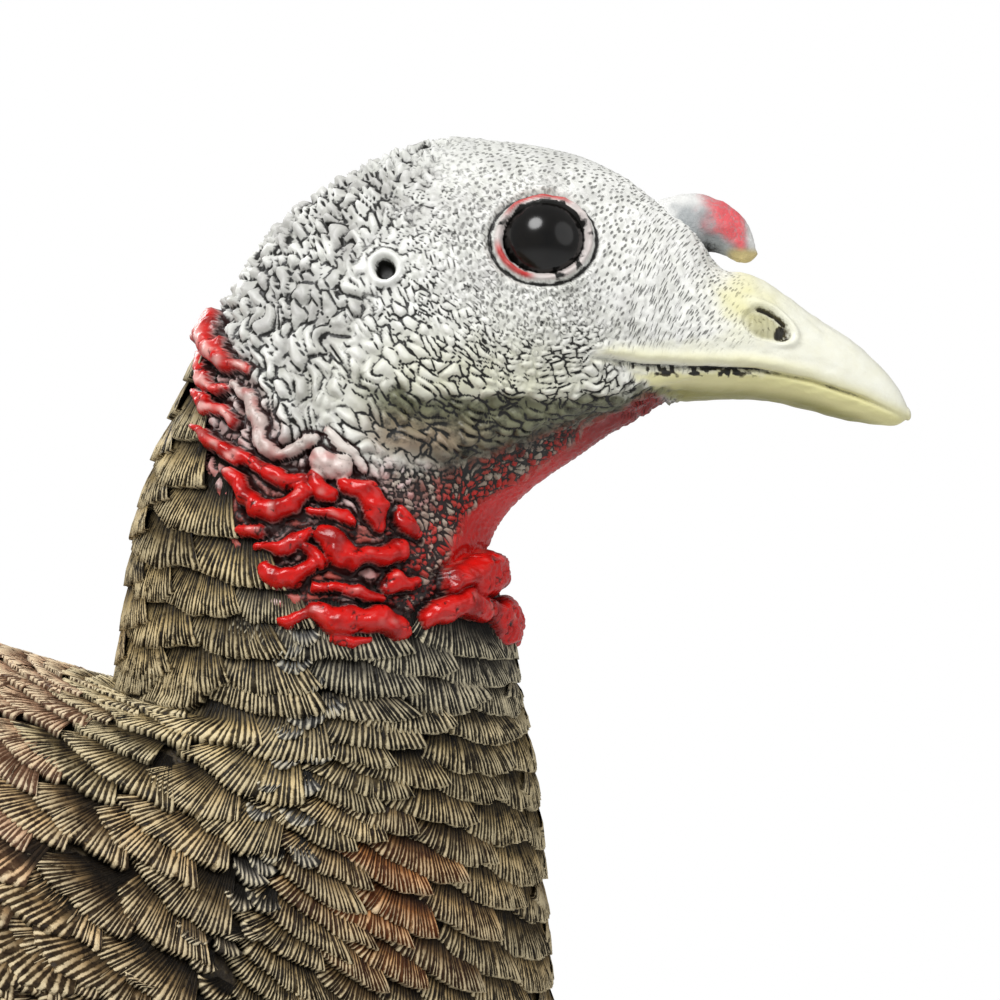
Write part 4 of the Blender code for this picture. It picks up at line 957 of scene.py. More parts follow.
    def paint_neck(self):
        """Red on the neck, mixed grains on the throat and a bright red front edge."""
        x, z, throat = self.x, self.z, self.throat
        red = smooth(-2, 5, (478 - z) - 1.35 * (x - 124))
        red = red * smooth(142, 132, x) * smooth(484, 479, z)
        red = np.maximum(red, smooth(4, 0, z - (457 - 0.28 * (x - 140))))
        red = red * (1 - smooth(190, 196, x))
        blush = self.noise(0.22, 71)
        low = smooth(4, -6, z - (452 - 0.3 * (x - 140)))
        self.lay(red * (0.35 + 0.65 * low) * (0.5 + 0.5 * (blush > -0.1)), paint=(188, 96, 84))
        self.lay(red, tint=(150, 30, 24), ground=(30, 9, 7))
        self.darken(0.62 * red * low * smooth(-0.3, 0.3, self.noise(0.7, 73)) * (1 - self.in_fold))
        pick = (self.grain_tag * 3).astype(int)
        throat_red = throat * smooth(-6, 5, 458 - z + 0.62 * (x - 172) + 4 * blush)
        self.lay(throat * 0.8 * (pick == 0), paint=(176, 168, 152))
        self.lay(throat * 0.8 * (pick == 1), paint=(92, 82, 68))
        self.lay(throat * (0.3 + 0.6 * throat_red) * (pick == 2), paint=(160, 44, 36))
        self.lay(throat_red * (pick > 0) * 0.7, paint=(203, 26, 20))
        self.lay(throat * 0.7, tint=(128, 44, 36))
        self.darken(throat * (1 - throat_red) * (0.3 + 0.35 * self.noise(0.5, 75)))
        edge_distance, _ = line_distance(x, z, THROAT_EDGE)
        widens = 1.9 + 5 * smooth(456, 446, z)
        front = smooth(widens + 1.4, widens - 1, edge_distance + 1.2 * blush) * smooth(436, 440, z)
        below = throat * smooth(0.55, 0.3, self.sideways) * smooth(440, 446, z) * smooth(200, 192, x)
        self.front = front = np.maximum(front, below) * (1 - self.in_fold)
        self.lay(front, paint=blend_colour(linear(204, 14, 9), linear(122, 10, 8), smooth(452, 464, z)))
        self.lay(front, tint=(150, 8, 6))
        self.crease = self.crease * (1 - 0.9 * front)
        self.height = self.height - front * throat * 0.75 * (self.grain - 0.5) * 0.8

    def paint_folds(self):
        """Red folds with painted shade on their flanks, pink rubbing and a painted highlight over the tops,
        and a few pale ones.
        """
        red = blend_colour(linear(204, 18, 13), linear(150, 9, 7), smooth(0, 0.8, self.noise(0.4, 120)))
        rubbed_and_lit = smooth(0, 0.9, self.noise(0.5, 121) + 1.1 * smooth(446, 474, self.z) - 0.42)
        # Painted shade on each fold's flanks.
        red = blend_colour(red, linear(92, 6, 5), 0.85 * smooth(0.75, 0.2, self.core))
        # Pink rubbing and a painted highlight over each fold's top.
        red = blend_colour(red, linear(236, 186, 178), 0.8 * (smooth(0.75, 1, self.core) * rubbed_and_lit))
        flushed = smooth(-0.2, 0.6, self.noise(0.6, 122) + 0.3 - 0.6 * self.core) * 0.8
        pale = blend_colour(linear(212, 196, 188), linear(182, 62, 54), flushed)
        colour = np.where(self.is_pale[..., None], pale, red)
        self.lay(self.in_fold, paint=colour)
        self.lay(0.8 * self.in_fold, tint=colour)
        # Dark red ground under the folds' creases and the painted shade round them.
        self.lay(0.7 * np.maximum(self.in_fold, self.fold_edge), ground=(46, 5, 4))

    def paint_lids(self):
        """Reddish rims, stronger over the eye and behind it."""
        ring = smooth(1.27, 1.2, self.lid) * (self.lid > 0.9)
        over = smooth(1, 0.6, np.abs(self.round_eye - 1.75))
        red = np.maximum(over, smooth(0.75, 0.4, np.abs(self.round_eye + 2.45)))
        red = red * smooth(-0.7, -0.2, self.noise(0.4, 81)) * smooth(1.05, 1.1, self.lid)
        colour = blend_colour(linear(206, 200, 196), linear(186, 40, 38), red)
        self.lay(ring, paint=colour)
        self.lay(ring, tint=blend_colour(colour, linear(226, 190, 184), 0.5))
        self.darken(ring * (1 - red) * smooth(-0.2, 0.5, self.noise(1.1, 82)) * 0.75)

    def paint_bill(self):
        """Ivory, yellower at the root and olive along the gape and under the lower half, darkest along its
        lower edge as painted shade.
        """
        x, over_gape, bill = self.x, self.over_gape, self.bill
        yellow = patch(x, self.z, (214.5, 487), (6, 5)) * (0.75 + 0.5 * self.rough)
        self.lay(np.clip(0.9 * yellow, 0, 1) * (1 - bill) * self.side, paint=(232, 229, 186))
        lower = smooth(0, 1, -over_gape)
        cream = linear(238, 238, 224)
        for colour, share in (
            ((232, 228, 178), np.clip(yellow, 0, 1)),
            ((214, 208, 142), 0.75 * (bell(np.maximum(over_gape, 0), 1.6) * smooth(200, 220, x))),
            ((226, 220, 158), 0.85 * lower),
            # Painted shade: dark olive along the lower edge of the lower half.
            ((128, 126, 50), 0.9 * lower * smooth(-2.2, -4.6, over_gape)),
            ((240, 236, 188), 0.6 * self.lip),
            ((168, 164, 118), 0.75 * smooth(1, 0.6, self.nostril)),
        ):
            cream = blend_colour(cream, linear(*colour), share)
        self.lay(bill, paint=cream)
        self.lay(bill, tint=blend_colour(cream, linear(206, 196, 130), 0.35))
        self.lay(bill * (1 - smooth(0.6, 0.9, self.bill_dark)), ground=(70, 62, 30))

    def pits_and_root(self):
        """Fine pits between the eye and the bill. Under the feathers the skin sinks and turns dark as painted
        shade.
        """
        x, z, bill, in_fold = self.x, self.z, self.bill, self.in_fold
        lores = window(x, 186, 196, 212, 222)
        ring = bell(self.from_eye - 13, 5) * self.side
        lasting = smooth(222, 210, x + 3 * self.rough) * smooth(476, 481, z) * self.side
        dots = lores + 0.6 * ring + 0.5 * self.crown + 0.4 * smooth(34, 12, self.from_eye)
        dots = np.clip(dots, 0, 1) * (1 - bill * (1 - 0.8 * lasting)) * (1 - self.lids)
        self.dots = dots * (1 - self.throat)
        self.matte = 0.46 - 0.23 * np.maximum(self.front, in_fold) - 0.12 * bill
        soft_bill = smooth(206, 212, x) * (z < 494)
        height = self.height + 0.3 * lores * (1 - bill) * self.noise(1.3, 91) * (1 - soft_bill * 0.5)
        bare = past_feather_line(x, z)
        sunk = smooth(1, -3, bare) * (1 - in_fold)
        self.height = height * (1 - sunk) - 1.9 * sunk
        # Painted shade on the skin where it goes under the feathers.
        under = smooth(0, -3, bare) * (1 - in_fold)
        self.lay(under, paint=(40, 34, 24), ground=(14, 12, 9))
        self.darken(0.6 * under)

    def relief(self):
        self.pebbles()
        self.swollen_folds()
        self.brow_and_jaw()
        self.ear_hole()
        self.eyelids()
        self.bill_relief()

    def colours(self):
        shape = (*self.x.shape, 3)
        self.paint = np.broadcast_to(linear(243, 243, 239), shape)
        self.tint = np.broadcast_to(linear(206, 208, 196), shape)
        self.ground = np.broadcast_to(linear(18, 17, 14), shape)
        self.paint_face()
        self.paint_neck()
        self.paint_folds()
        self.paint_lids()
        self.paint_bill()
        self.pits_and_root()

    def values(self):
        return {key: getattr(self, key) for key in ("crease", "dots", "matte", "paint", "tint", "ground")}


def even_along(start, stop, spacing):
    """Places along the loft that are about as far apart as the spacing."""
    fine = np.linspace(start, stop, 1200)
    outlines = (loft_point(fine, np.full(1200, turn)) for turn in (0, math.pi))
    run = sum(run_along(outline) for outline in outlines) / 2
    count = int(run[-1] / spacing) + 1
    return np.interp(np.linspace(0, run[-1], count), run, fine)


def head_skin_part(name, along, turns, finish, tip=(), **settings):
    """Part of the head's skin. tip: shares of the first ring's size, for the rings that close it."""
    tt, aa = np.meshgrid(along, turns, indexing="ij")
    base, normal, _, _ = frame_at(tt, aa)
    made = HeadSkin(base, normal)
    made.relief()
    made.colours()
    height = made.height * smooth(0, 0.8, tt)
    points = base + normal * height[..., None]
    values = made.values()
    # Places on the skin as if it were unrolled, for its finest pits.
    run = run_along(loft_point(along, np.full(len(along), QUARTER)))
    girth = np.linalg.norm(loft_point(tt, aa)[:, 1:] - loft_point(tt, aa)[:, :-1], axis=-1).sum(1)
    unrolled = [run[:, None] + 0 * aa, (aa - turns[0]) / (turns[-1] - turns[0]) * girth[:, None], 0 * aa]
    values["flat"] = np.stack(unrolled, -1) / (1.05, 1.25, 1)
    if tip:
        middle = points[0].mean(0)
        ahead = unit(middle - points[1].mean(0))
        rings = [middle + (points[0] - middle) * share + ahead * math.sqrt(1 - share**2) for share in tip]
        points = np.concatenate([rings, points])
        values = {k: np.concatenate([v[:1]] * len(tip) + [v]) for k, v in values.items()}
    flat = {k: v.reshape(-1, *v.shape[2:]) for k, v in values.items()}
    grid_mesh(name, points, finish, "head", closed=False, **flat, **settings)


# ---- Build: head ----

skin = skin_finish()
BILL_END, FACE_END, ROUND = 9.6, 17.6, 281
bill_rows = even_along(0, BILL_END, 0.42)
face_rows = even_along(BILL_END, FACE_END, 0.3)
throat_rows = even_along(FACE_END, SEAM, 0.34)
left_turns, right_turns = np.linspace(0, math.pi, ROUND), np.linspace(math.pi, 2 * math.pi, ROUND)
head_skin_part("head_face_left", face_rows, left_turns, skin, replaces=("head_neck_shell",), slot="head_foam")
head_skin_part("head_face_right", face_rows, right_turns, skin, slot="head_foam")
head_skin_part("head_neck_left", throat_rows, left_turns, skin, slot="head_foam")
head_skin_part("head_neck_right", throat_rows, right_turns, skin, slot="head_foam")
whole_round = np.concatenate([left_turns, right_turns[1:]])
head_skin_part("head_bill", bill_rows, whole_round, skin, tip=(0.01, 0.35, 0.65, 0.88), slot="head_foam")


def even_finish(name, dark, light, roughness, grain, depth, strength, soft=0.6, **sockets):
    """One fine texture moves the colour, the roughness between two values, and a slight bump."""
    f = Finish(name, sum(roughness) / 2, **sockets)
    fine = f.texture(grain, 4, soft)
    colour = f.mix(f.remap(fine, 0.3, 0.7), dark, light)
    return f.finish(colour, f.remap(fine, 0.3, 0.7, *roughness), f.bump(fine, depth, strength))


def ball(name, centre, radius, finish, body, **settings):
    rows, columns = 49, 96
    a = np.linspace(0.001, math.pi - 0.001, rows)[:, None]
    b = np.linspace(0, math.tau, columns, endpoint=False)[None, :]
    unit_ball = np.stack(np.broadcast_arrays(np.sin(a) * np.cos(b), np.cos(a), -np.sin(a) * np.sin(b)), -1)
    grid_mesh(name, np.array(centre) + radius * unit_ball, finish, body, **settings)


glass = even_finish("glass_eye", (0.0012, 0.0012, 0.0014), (0.006, 0.005, 0.004), (0.15, 0.2), 260, 0.00002,
                    0.3, Specular_IOR_Level=0.4)
for side, name in ((1, "left"), (-1, "right")):
    centre = (EYE[0], side * EYE_SIDE, EYE[1])
    ball(f"eyeball_{name}", centre, EYE_R, glass, "head", replaces=(f"eye_{name}",), slot="eye_glass")


# ---- Build: feathers ----

BODY_START = SEAM + 0.03
FEATHER_GAP = 0.6
coat_finish = feather_finish()


def lateral(t):
    """The turn of the line on each side where the neck's two coats of feathers meet."""
    return math.radians(89) + math.radians(4) * smooth(27, 33, t)


def lag(t, turn):
    """How far along the loft a row of feathers has swept back, most where it reaches the meeting line."""
    away = np.abs(np.arctan2(np.sin(turn), np.cos(turn)))
    sweep = np.clip(away / lateral(30), 0, 1) ** 1.5 * smooth(np.radians(118), np.radians(94), away)
    return 1.5 * sweep * window(t, 27.6, 31, 33, 37.5)


def wing_share(t, turn):
    """1 in the middle of the folded wing and 0 off it."""
    away = np.abs(np.arctan2(np.sin(turn), np.cos(turn)))
    t = t + 0 * away
    top = np.radians(36 - 8 * smooth(34, 44, t))
    bottom = np.radians(108 - 34 * smooth(38, 46, t))
    across = smooth(top - 0.1, top + 0.16, away) * smooth(bottom + 0.04, bottom - 0.14, away)
    return across * smooth(33.7, 35.4, t + 0.6 * away) * smooth(45.9, 44.4, t)


def body_point(t, turn):
    """A point of the body with its folded wings, before its feathers."""
    t, turn = np.broadcast_arrays(t, turn)
    place, normal, _, _ = frame_at(t, turn)
    return place + normal * (6 * wing_share(t, turn))[..., None]


def row_places(first_t, last_t, turn, pitch, swept=False):
    """Places along the loft for rows of feathers, the last one exactly at last_t."""
    fine = np.linspace(first_t, last_t, 400)
    run = run_along(loft_point(fine + lag(fine, turn) * swept, np.full(400, turn)))
    count = max(1, round(run[-1] / pitch))
    return np.interp(np.linspace(0, run[-1], count + 1), run, fine)


def feathered(place, on_head):
    """Which places carry feathers: on the head only those well off the bare skin."""
    if not on_head:
        return np.full(len(place), True)
    return past_feather_line(place[:, 0], place[:, 2]) < -FEATHER_GAP


def neck_half(coat, rows, pitch, watch, on_nape, on_head, floor, number):
    """Rows of feathers over the nape or over the throat's side. Gives the number for the next row.

    The rows lie a pitch apart in mm, measured at the turn called watch.
    """
    for t, before in zip(rows, [2 * rows[0] - rows[1], *rows]):
        per_t, girth = scale_at(t, watch)
        half = (lateral(t) if on_nape else math.pi - lateral(t)) - math.radians(1.5)
        each = 15.5 + 3 * noise(np.array([[t * 1.9, 0 if on_nape else math.pi, 0]]), 2)[0]
        places = np.linspace(-half, half, max(4, int(round(2 * half * girth / each))) + 1)
        middle = (places[:-1] + places[1:]) / 2
        if number % 2:
            middle = np.clip(places, -half + 0.08, half - 0.08)
        chance = draws(len(middle), number, 3)
        middle = middle + (chance[:, 0] - 0.5) * 0.2 * each / girth
        bow = 0.35 * np.sin(np.pi * np.clip(np.abs(middle) / half, 0, 1)) * pitch
        at = t + lag(t, middle) * on_nape + (bow + (chance[:, 1] - 0.5) * 1.1) / per_t
        turn = (0 if on_nape else math.pi) + middle
        place = loft_point(at, turn)
        kept = feathered(place, on_head)
        if kept.any():
            mantle = smooth(112, 92, place[kept, 0])
            _, _, local, _ = frame_at(at, turn, coat.point)
            apart = (t - before + (lag(t, middle) - lag(before, middle)) * on_nape) * local
            length = np.clip(2.3 * apart, 1.9 * pitch, 4 * pitch)[kept]
            coat.add(at[kept], turn[kept], length, each * (1.3 + 0.35 * chance[kept, 2]),
                     lift=2.8 - 1.2 * mantle, barbs=26, root=0.42, round_end=0.16, cup=0.12,
                     sink=(-1.65 + 0.6 * mantle)[:, None, None], floor=floor, colours=back_colours)
        number += 1
    return number


def neck_coat(name, first_t, last_t, body, on_head):
    """The neck's feathers from one place along the loft to another, and the strip where its halves meet."""
    coat = Coat(name, columns=73, rows=8, point=loft_point if on_head else body_point)
    floor = 0 if on_head else BODY_START
    number = 0
    for on_nape, pitch, watch in ((True, 6.8, 45 if on_head else 68), (False, 5.7, 135)):
        rows = row_places(first_t, last_t, math.radians(watch), pitch, on_nape)
        number = neck_half(coat, rows, pitch, math.radians(watch), on_nape, on_head, floor, number)
    # A narrow strip of short, ragged feathers covers the meeting line.
    for t in row_places(first_t, last_t, math.radians(88), 2.6):
        for side in (1, -1):
            turn = np.array([side * lateral(t)])
            if feathered(loft_point(np.array([t]), turn), on_head)[0]:
                chance = scramble(np.array([[t * 50, side, 1]]), 4)[0]
                coat.add(t, turn + side * 0.16 * (chance[0] - 0.5), 5.5, 4.5 + 3.5 * chance[1],
                         lift=1.6 + 0.8 * chance[2], barbs=7, round_end=0.45, sink=-0.75, floor=floor,
                         colours=strip_colours)
    coat.mesh(coat_finish, body)


neck_coat("neck_feathers_upper", 20.6, 27.12, "head", True)
neck_coat("neck_feathers_lower", 27.7, 33.2, "body", False)


# ---- Build: body under the feathers ----

BASE_SINK = 1.9
RING = np.linspace(0, math.tau, 160, endpoint=False)


def seam_ring(inset, rise, turns):
    """A ring on the seam's own frame, drawn in and moved along its axis."""
    seam = np.array(SEAM_STATION)
    upper, lower = seam[0:2], seam[2:4]
    forward = (lower - upper) / np.hypot(*(lower - upper))
    middle, half_long = (upper + lower) / 2, np.hypot(*(lower - upper)) / 2
    run, side = (inset - half_long) * np.cos(turns), (seam[4] - inset) * np.sin(turns)
    x = middle[0] + forward[0] * run - forward[1] * rise
    z = middle[1] + forward[1] * run + forward[0] * rise
    return np.stack([x, side, z], -1)


def base_finish():
    f = Finish("base_coat", 0.55, Specular_IOR_Level=0.35)
    fine = f.texture(900, 5)
    broad = f.texture(90)
    colour = f.mix(f.remap(broad, 0.3, 0.7), linear(26, 21, 16), linear(58, 47, 33))
    colour = f.mix(f.remap(fine, 0.45, 0.7, 0, 0.5), colour, linear(104, 90, 62))
    return f.finish(colour, f.remap(fine, 0.3, 0.7, 0.45, 0.65), f.bump(fine, 0.0006, 0.8))


def body_base(finish):
    along = np.concatenate([np.linspace(SEAM, 34, 60), np.linspace(34, END, 90)[1:]])
    tt, aa = np.meshgrid(along, RING, indexing="ij")
    place, normal, _, _ = frame_at(tt, aa, body_point)
    # From the neck's opening outward: a short wall inside it, its flat edge, then the skin.
    rings = [seam_ring(*at, RING) for at in ((3, -5), (3, -0.05), (1.7, -0.05))]
    skin_points = (place - normal * BASE_SINK)[1:]
    end = np.broadcast_to(skin_points[-1].mean(0), (1, len(RING), 3))
    points = np.concatenate([np.stack(rings), skin_points, end])
    grid_mesh("body_base", points, finish, "body", replaces=("body_shell",), slot="body_foam")


def rim_ring(finish):
    """The moulded edge inside the head's open end."""
    points = np.stack([seam_ring(*at, RING) for at in ((1.6, 2.5), (1.7, 0.3), (3, 0.3), (3, 5))])
    grid_mesh("head_rim", points, finish, "head", slot="head_foam")


def belly_pad(finish, around=96):
    """The flat pad that the belly's bushing goes through."""
    inner, outer, edge, low, high = 15.1, 36, 0.8, 222, 233
    profile = ((inner, low), (outer - edge, low), (outer, low + edge), (outer, high), (inner, high),
               (inner, low))
    radius, z = (v[:, None] for v in np.array(profile).T)
    turns = np.linspace(0, math.tau, around, endpoint=False)
    points = np.stack([radius * np.cos(turns), radius * np.sin(turns), z + 0 * turns], -1)
    grid_mesh("belly_pad", points, finish, "body", smooth_faces=False, slot="body_foam")


under_coat = base_finish()
body_base(under_coat)
rim_ring(under_coat)
belly_pad(under_coat)


# ---- Build: body feathers ----


def off_pad(place):
    return ~((np.hypot(place[:, 0], place[:, 1]) < 43) & (place[:, 2] < 250))


def body_coat():
    """Rows of feathers round the body, from the neck's last row to the rump, left out under the wings."""
    coat = Coat("body_feathers", columns=41, rows=6, point=body_point)
    t, number = 32.9, 0
    round_turns = np.linspace(-math.pi, math.pi, 361)
    while t < 45.9:
        pitch = 7.5 + 7 * smooth(33, 40, t) - 3 * smooth(43, 46, t)
        each = 14 + 8 * (smooth(33, 39, t) - 0.6 * smooth(43, 46, t))
        step = pitch / scale_at(t, QUARTER, body_point)[0]
        run = run_along(body_point(np.full(len(round_turns), t), round_turns))
        count = max(6, int(run[-1] / each / 2) * 2)
        at_run = (np.arange(count) + (0.5 if number % 2 else 0)) / count * run[-1]
        turn = np.interp(at_run, run, round_turns)
        chance = draws(count, number, 9)
        at = t + lag(t, turn) + (chance[:, 0] - 0.5) * 0.2 * step
        place, _, local, _ = frame_at(at, turn, body_point)
        rump = (at > 41.6) & (np.abs(turn) < np.radians(60))
        kept = off_pad(place) & ((wing_share(at, turn) < 0.8) | rump)
        coat.add(at[kept], turn[kept], 2 * step * local[kept], each * (1.35 + 0.15 * chance[kept, 1]),
                 lift=2.6, barbs=19, root=0.55, round_end=0.3, cup=0.2, sink=-1.4, floor=BODY_START,
                 colours=back_colours, band=smooth(34, 36.5, t))
        number += 1
        t += step
    coat.mesh(coat_finish, "body", slot="body_foam")


def wing_coverts():
    """Rows of coverts on both folded wings."""
    coat = Coat("wing_feathers", columns=23, rows=10, point=body_point)
    spacing, middle = 0.42, math.radians(70)
    for side in (1, -1):
        for k, t in enumerate(np.arange(33.36, 40.4, spacing)):
            top, bottom, each = np.radians(38 - 0.6 * k), np.radians(106 - 1.2 * k), 13 + 0.75 * k
            count = max(3, int((bottom - top) * scale_at(t, middle, body_point)[1] / each))
            turn = top + (bottom - top) * (np.arange(count) + (0.75 if k % 2 else 0.25)) / count
            at = t + 0.1 * (draws(count, k, side + 5)[:, 0] - 0.5) + 0.5 * (turn - middle)
            _, _, local, _ = frame_at(at, side * turn, body_point)
            coat.add(at, side * turn, 2.1 * spacing * local, each * 1.45, lift=2.3, barbs=13, root=0.55,
                     cup=0.2, sink=-0.9, colours=back_colours, band=smooth(34.8, 37, t))
    coat.mesh(coat_finish, "body", slot="body_foam")


def flight_feathers():
    """Primaries first, then the secondaries that lie over them like a fan that is nearly shut."""
    flight = Coat("flight_feathers", columns=17, rows=24, point=body_point)
    look = {"barbs": 15, "cup": 0.2, "colours": flight_colours, "band": 0.6, "shadow": -1}
    for side in (1, -1):
        for k in range(6):
            share = k / 5
            turn = math.radians(84 - 24 * share)
            flight.add(45.2 - share, side * turn, 150 - 14 * share, 17, lift=2.2, root=0.85,
                       round_end=0.12, sink=-1.2 + 0.3 * k, **look)
        for k in range(12):
            share = k / 11
            turn = math.radians(98 - 62 * share)
            end_t = 43.5 - 1.7 * share**1.5
            length = (end_t - 39) * scale_at(end_t - 1.5, turn, body_point)[0]
            flight.add(end_t, side * turn, length, 21, lift=2, root=0.8, round_end=0.16,
                       sink=0.1 + 0.24 * k, **look)
    flight.mesh(flight_finish(), "body")


def flight_finish():
    """Long feathers: a pale shaft, slanting barbs and dark bars across."""
    f = Finish("flight_feathers", 0.5, Specular_IOR_Level=0.4)
    barb, along = f.value("barb"), f.value("along")
    middle = f.maths("ABSOLUTE", barb)
    slant = f.maths("SUBTRACT", f.times(along, 34), f.times(middle, 0.9))
    fine = f.texture(1100)
    wave = f.wave(slant)
    ragged = f.plus(wave, f.stray(fine, 1.6))
    ridge = f.remap(ragged, -0.4, 0.8)
    bar_wave = f.maths("SINE", f.plus(f.times(along, 42), f.times(middle, 0.25)))
    bars = f.remap(f.plus(bar_wave, f.stray(fine, 0.9)), -0.1, 0.35)
    paint = f.mix(bars, f.mix(0.65, f.colour("ground"), linear(30, 22, 17)), f.colour("paint"))
    colour = f.mix(f.times(ridge, 0.85), f.mix(0.5, f.colour("ground"), paint), paint)
    shaft = f.remap(middle, 0.22, 0.34, 1, 0)
    colour = f.mix(f.times(shaft, 0.8), colour, linear(120, 96, 66))
    colour = f.mix(f.remap(along, 0.95, 0.99), colour, linear(206, 190, 158))
    colour = f.mix(f.times(f.value("shade"), 0.9), colour, linear(16, 12, 9))
    height = f.plus(f.times(ridge, 0.8), f.times(shaft, 2))
    return f.finish(colour, f.remap(fine, 0.25, 0.75, 0.38, 0.6), f.bump(height, 0.0006, 0.9))


body_coat()
wing_coverts()
flight_feathers()


# ---- Build: tail ----

TAIL_ROOT, TAIL_DROP = (-303.0, 286.0), math.radians(17.0)
TAIL_LENGTH, TAIL_ROOT_HALF, TAIL_TIP_HALF, TAIL_ARCH = 215.0, 33.0, 72.0, 9.0


def tail_point(reach, across, height):
    """A point of the fan. reach: 0 at the root, 1 at the tip. across: -1 to 1. height in mm over the fan."""
    half = TAIL_ROOT_HALF + (TAIL_TIP_HALF - TAIL_ROOT_HALF) * reach
    run = 2 + (TAIL_LENGTH - 2) * reach
    arch = TAIL_ARCH * (0.25 + 0.75 * reach) * -(across**2) + height
    c, n = math.cos(TAIL_DROP), math.sin(TAIL_DROP)
    x = TAIL_ROOT[0] - c * run - n * arch
    z = TAIL_ROOT[1] - n * run + c * arch
    return np.stack(np.broadcast_arrays(x, -half * across, z), -1)


def tail_feathers(name, count, heights, finish, face, reach_end, **settings):
    """Long closed plates that lie over one another, the middle one on top. face: 1 upward, -1 downward."""
    rows, columns, thick = 44, 17, 0.8
    size = rows * columns
    v = np.linspace(0, 1, rows)[:, None]
    u = np.linspace(-1, 1, columns)[None, :]
    grid = grid_faces(rows, columns)
    rim = [i * columns for i in range(rows)] + [(rows - 1) * columns + j for j in range(1, columns)]
    rim += [i * columns + columns - 1 for i in range(rows - 2, -1, -1)] + list(range(columns - 2, 0, -1))
    rim = np.array(rim)
    after = np.roll(rim, -1)
    wall = np.stack([rim, after, after + size, rim + size], -1)
    if face > 0:
        plate = np.concatenate([grid[:, ::-1], grid + size, wall])
    else:
        plate = np.concatenate([grid, grid[:, ::-1] + size, wall[:, ::-1]])
    points, faces, chance = [], [], []
    for k in range(count):
        across = -1 + 2 * (k + 0.5) / count
        end = (1 - 0.12 * across**2) * reach_end * (1 - 0.01 * scramble(np.array([[k, 3, face]]), 2)[0, 0])
        reach = v * end * (1 - 0.065 * np.abs(u) ** 2.4 * v**3) + 0.004 * np.sin(u * 31 + k) * v**6
        width = (0.55 + 0.45 * np.sin(np.clip(v * 1.1, 0, 1) * QUARTER)) * 1.75 / count
        side = np.clip(across + u * width, -1.06, 1.06)
        level = heights[0] + (heights[1] - heights[0]) * abs(across)
        vane = 0.5 * (1 - u**2) + 0.5 * bell(u, 0.09) + 0.35 * u * (1 if across < 0 else -1)
        for drop in (0, thick):
            height = level * (1 - 0.3 * v) + face * (vane * 0.9 - drop)
            points.append(tail_point(reach, side, height).reshape(-1, 3))
        faces.append(plate + 2 * size * k)
        chance.append(np.full(2 * size, across))
    values = {
        "barb": np.tile(np.broadcast_to(u * 8, (rows, columns)).ravel(), 2 * count),
        "along": np.tile(np.broadcast_to(v, (rows, columns)).ravel(), 2 * count),
        "chance": np.concatenate(chance),
        "ground": np.tile(linear(46, 33, 25), (2 * count * size, 1)),
        "paint": np.tile(linear(168, 124, 84), (2 * count * size, 1)),
    }
    make_mesh(name, np.concatenate(points), np.concatenate(faces), finish, "body", **values, **settings)


def tail_finish():
    """Brown, finely barred tail feathers with one broad dark band and a buff tip."""
    f = Finish("tail_feathers", 0.5, Specular_IOR_Level=0.4)
    barb, along = f.value("barb"), f.value("along")
    middle = f.maths("ABSOLUTE", barb)
    fine = f.texture(1000)
    drift = f.stray(f.texture(120, 4, 0.55), 3)
    slant = f.maths("SUBTRACT", f.times(along, 110), f.times(middle, 0.8))
    wave = f.wave(slant)
    ridge = f.remap(f.plus(wave, f.stray(fine, 1.6)), -0.5, 0.8)
    bar = f.maths("SINE", f.plus(f.times(along, 150), drift))
    bars = f.remap(f.plus(bar, f.stray(fine, 1.2)), -0.2, 0.5)
    colour = f.mix(bars, f.colour("ground"), f.colour("paint"))
    edge = f.plus(along, f.stray(fine, 0.02))
    band = f.times(f.remap(edge, 0.79, 0.81), f.remap(edge, 0.9, 0.915, 1, 0))
    colour = f.mix(band, colour, linear(24, 18, 14))
    colour = f.mix(f.remap(edge, 0.945, 0.96), colour, linear(208, 180, 138))
    colour = f.mix(f.times(f.remap(ridge, 0, 1, 1, 0), 0.45), colour, linear(22, 16, 12))
    shaft = f.remap(middle, 0.35, 0.6, 1, 0)
    colour = f.mix(f.times(shaft, 0.6), colour, linear(104, 78, 52))
    return f.finish(colour, f.remap(fine, 0.25, 0.75, 0.36, 0.58), f.bump(ridge, 0.0005, 0.9))


tail_coat = tail_finish()
tail_feathers("tail_feathers_top", 15, (2.6, 0.6), tail_coat, 1, 1, replaces=("tail_fan",),
              slot="tail_foam")
tail_feathers("tail_feathers_under", 13, (-2.6, -0.9), tail_coat, -1, 0.985, slot="tail_foam")


def tail_surface(side):
    def point(t, turn):
        """The tail's own skin, written so that feathers can be laid on it like on the loft."""
        reach = np.clip(t, -0.6, 1)
        return tail_point(reach, np.clip(turn, -1.05, 1.05), side * (3.4 - 0.8 * reach))
    return point


def tail_coverts(name, side, rows):
    """Short feathers over the tail's root, on its upper or its lower face."""
    coat = Coat(name, columns=23, rows=8, point=tail_surface(side))
    for k, t in enumerate(rows):
        count = 5 + k
        turn = (np.arange(count) + 0.5) / count * 1.9 - 0.95
        if k % 2:
            turn = np.clip(turn + 0.95 / count, -0.95, 0.95)
        # The tail's own surface runs the other way round than the loft, so its upper face is the turned one.
        coat.add(t - 0.06 * turn**2, turn, 34 + 2 * k, 26, lift=2.6, barbs=15, root=0.6, round_end=0.3,
                 cup=0.25, sink=-1.6, colours=back_colours, band=1, flip=side > 0)
    coat.mesh(coat_finish, "body", slot="tail_foam")


tail_coverts("tail_coverts_top", 1, (0.05, 0.12, 0.19, 0.27, 0.36))
tail_coverts("tail_coverts_under", -1, (0.05, 0.14, 0.24, 0.35))


# ---- Build: snood ----

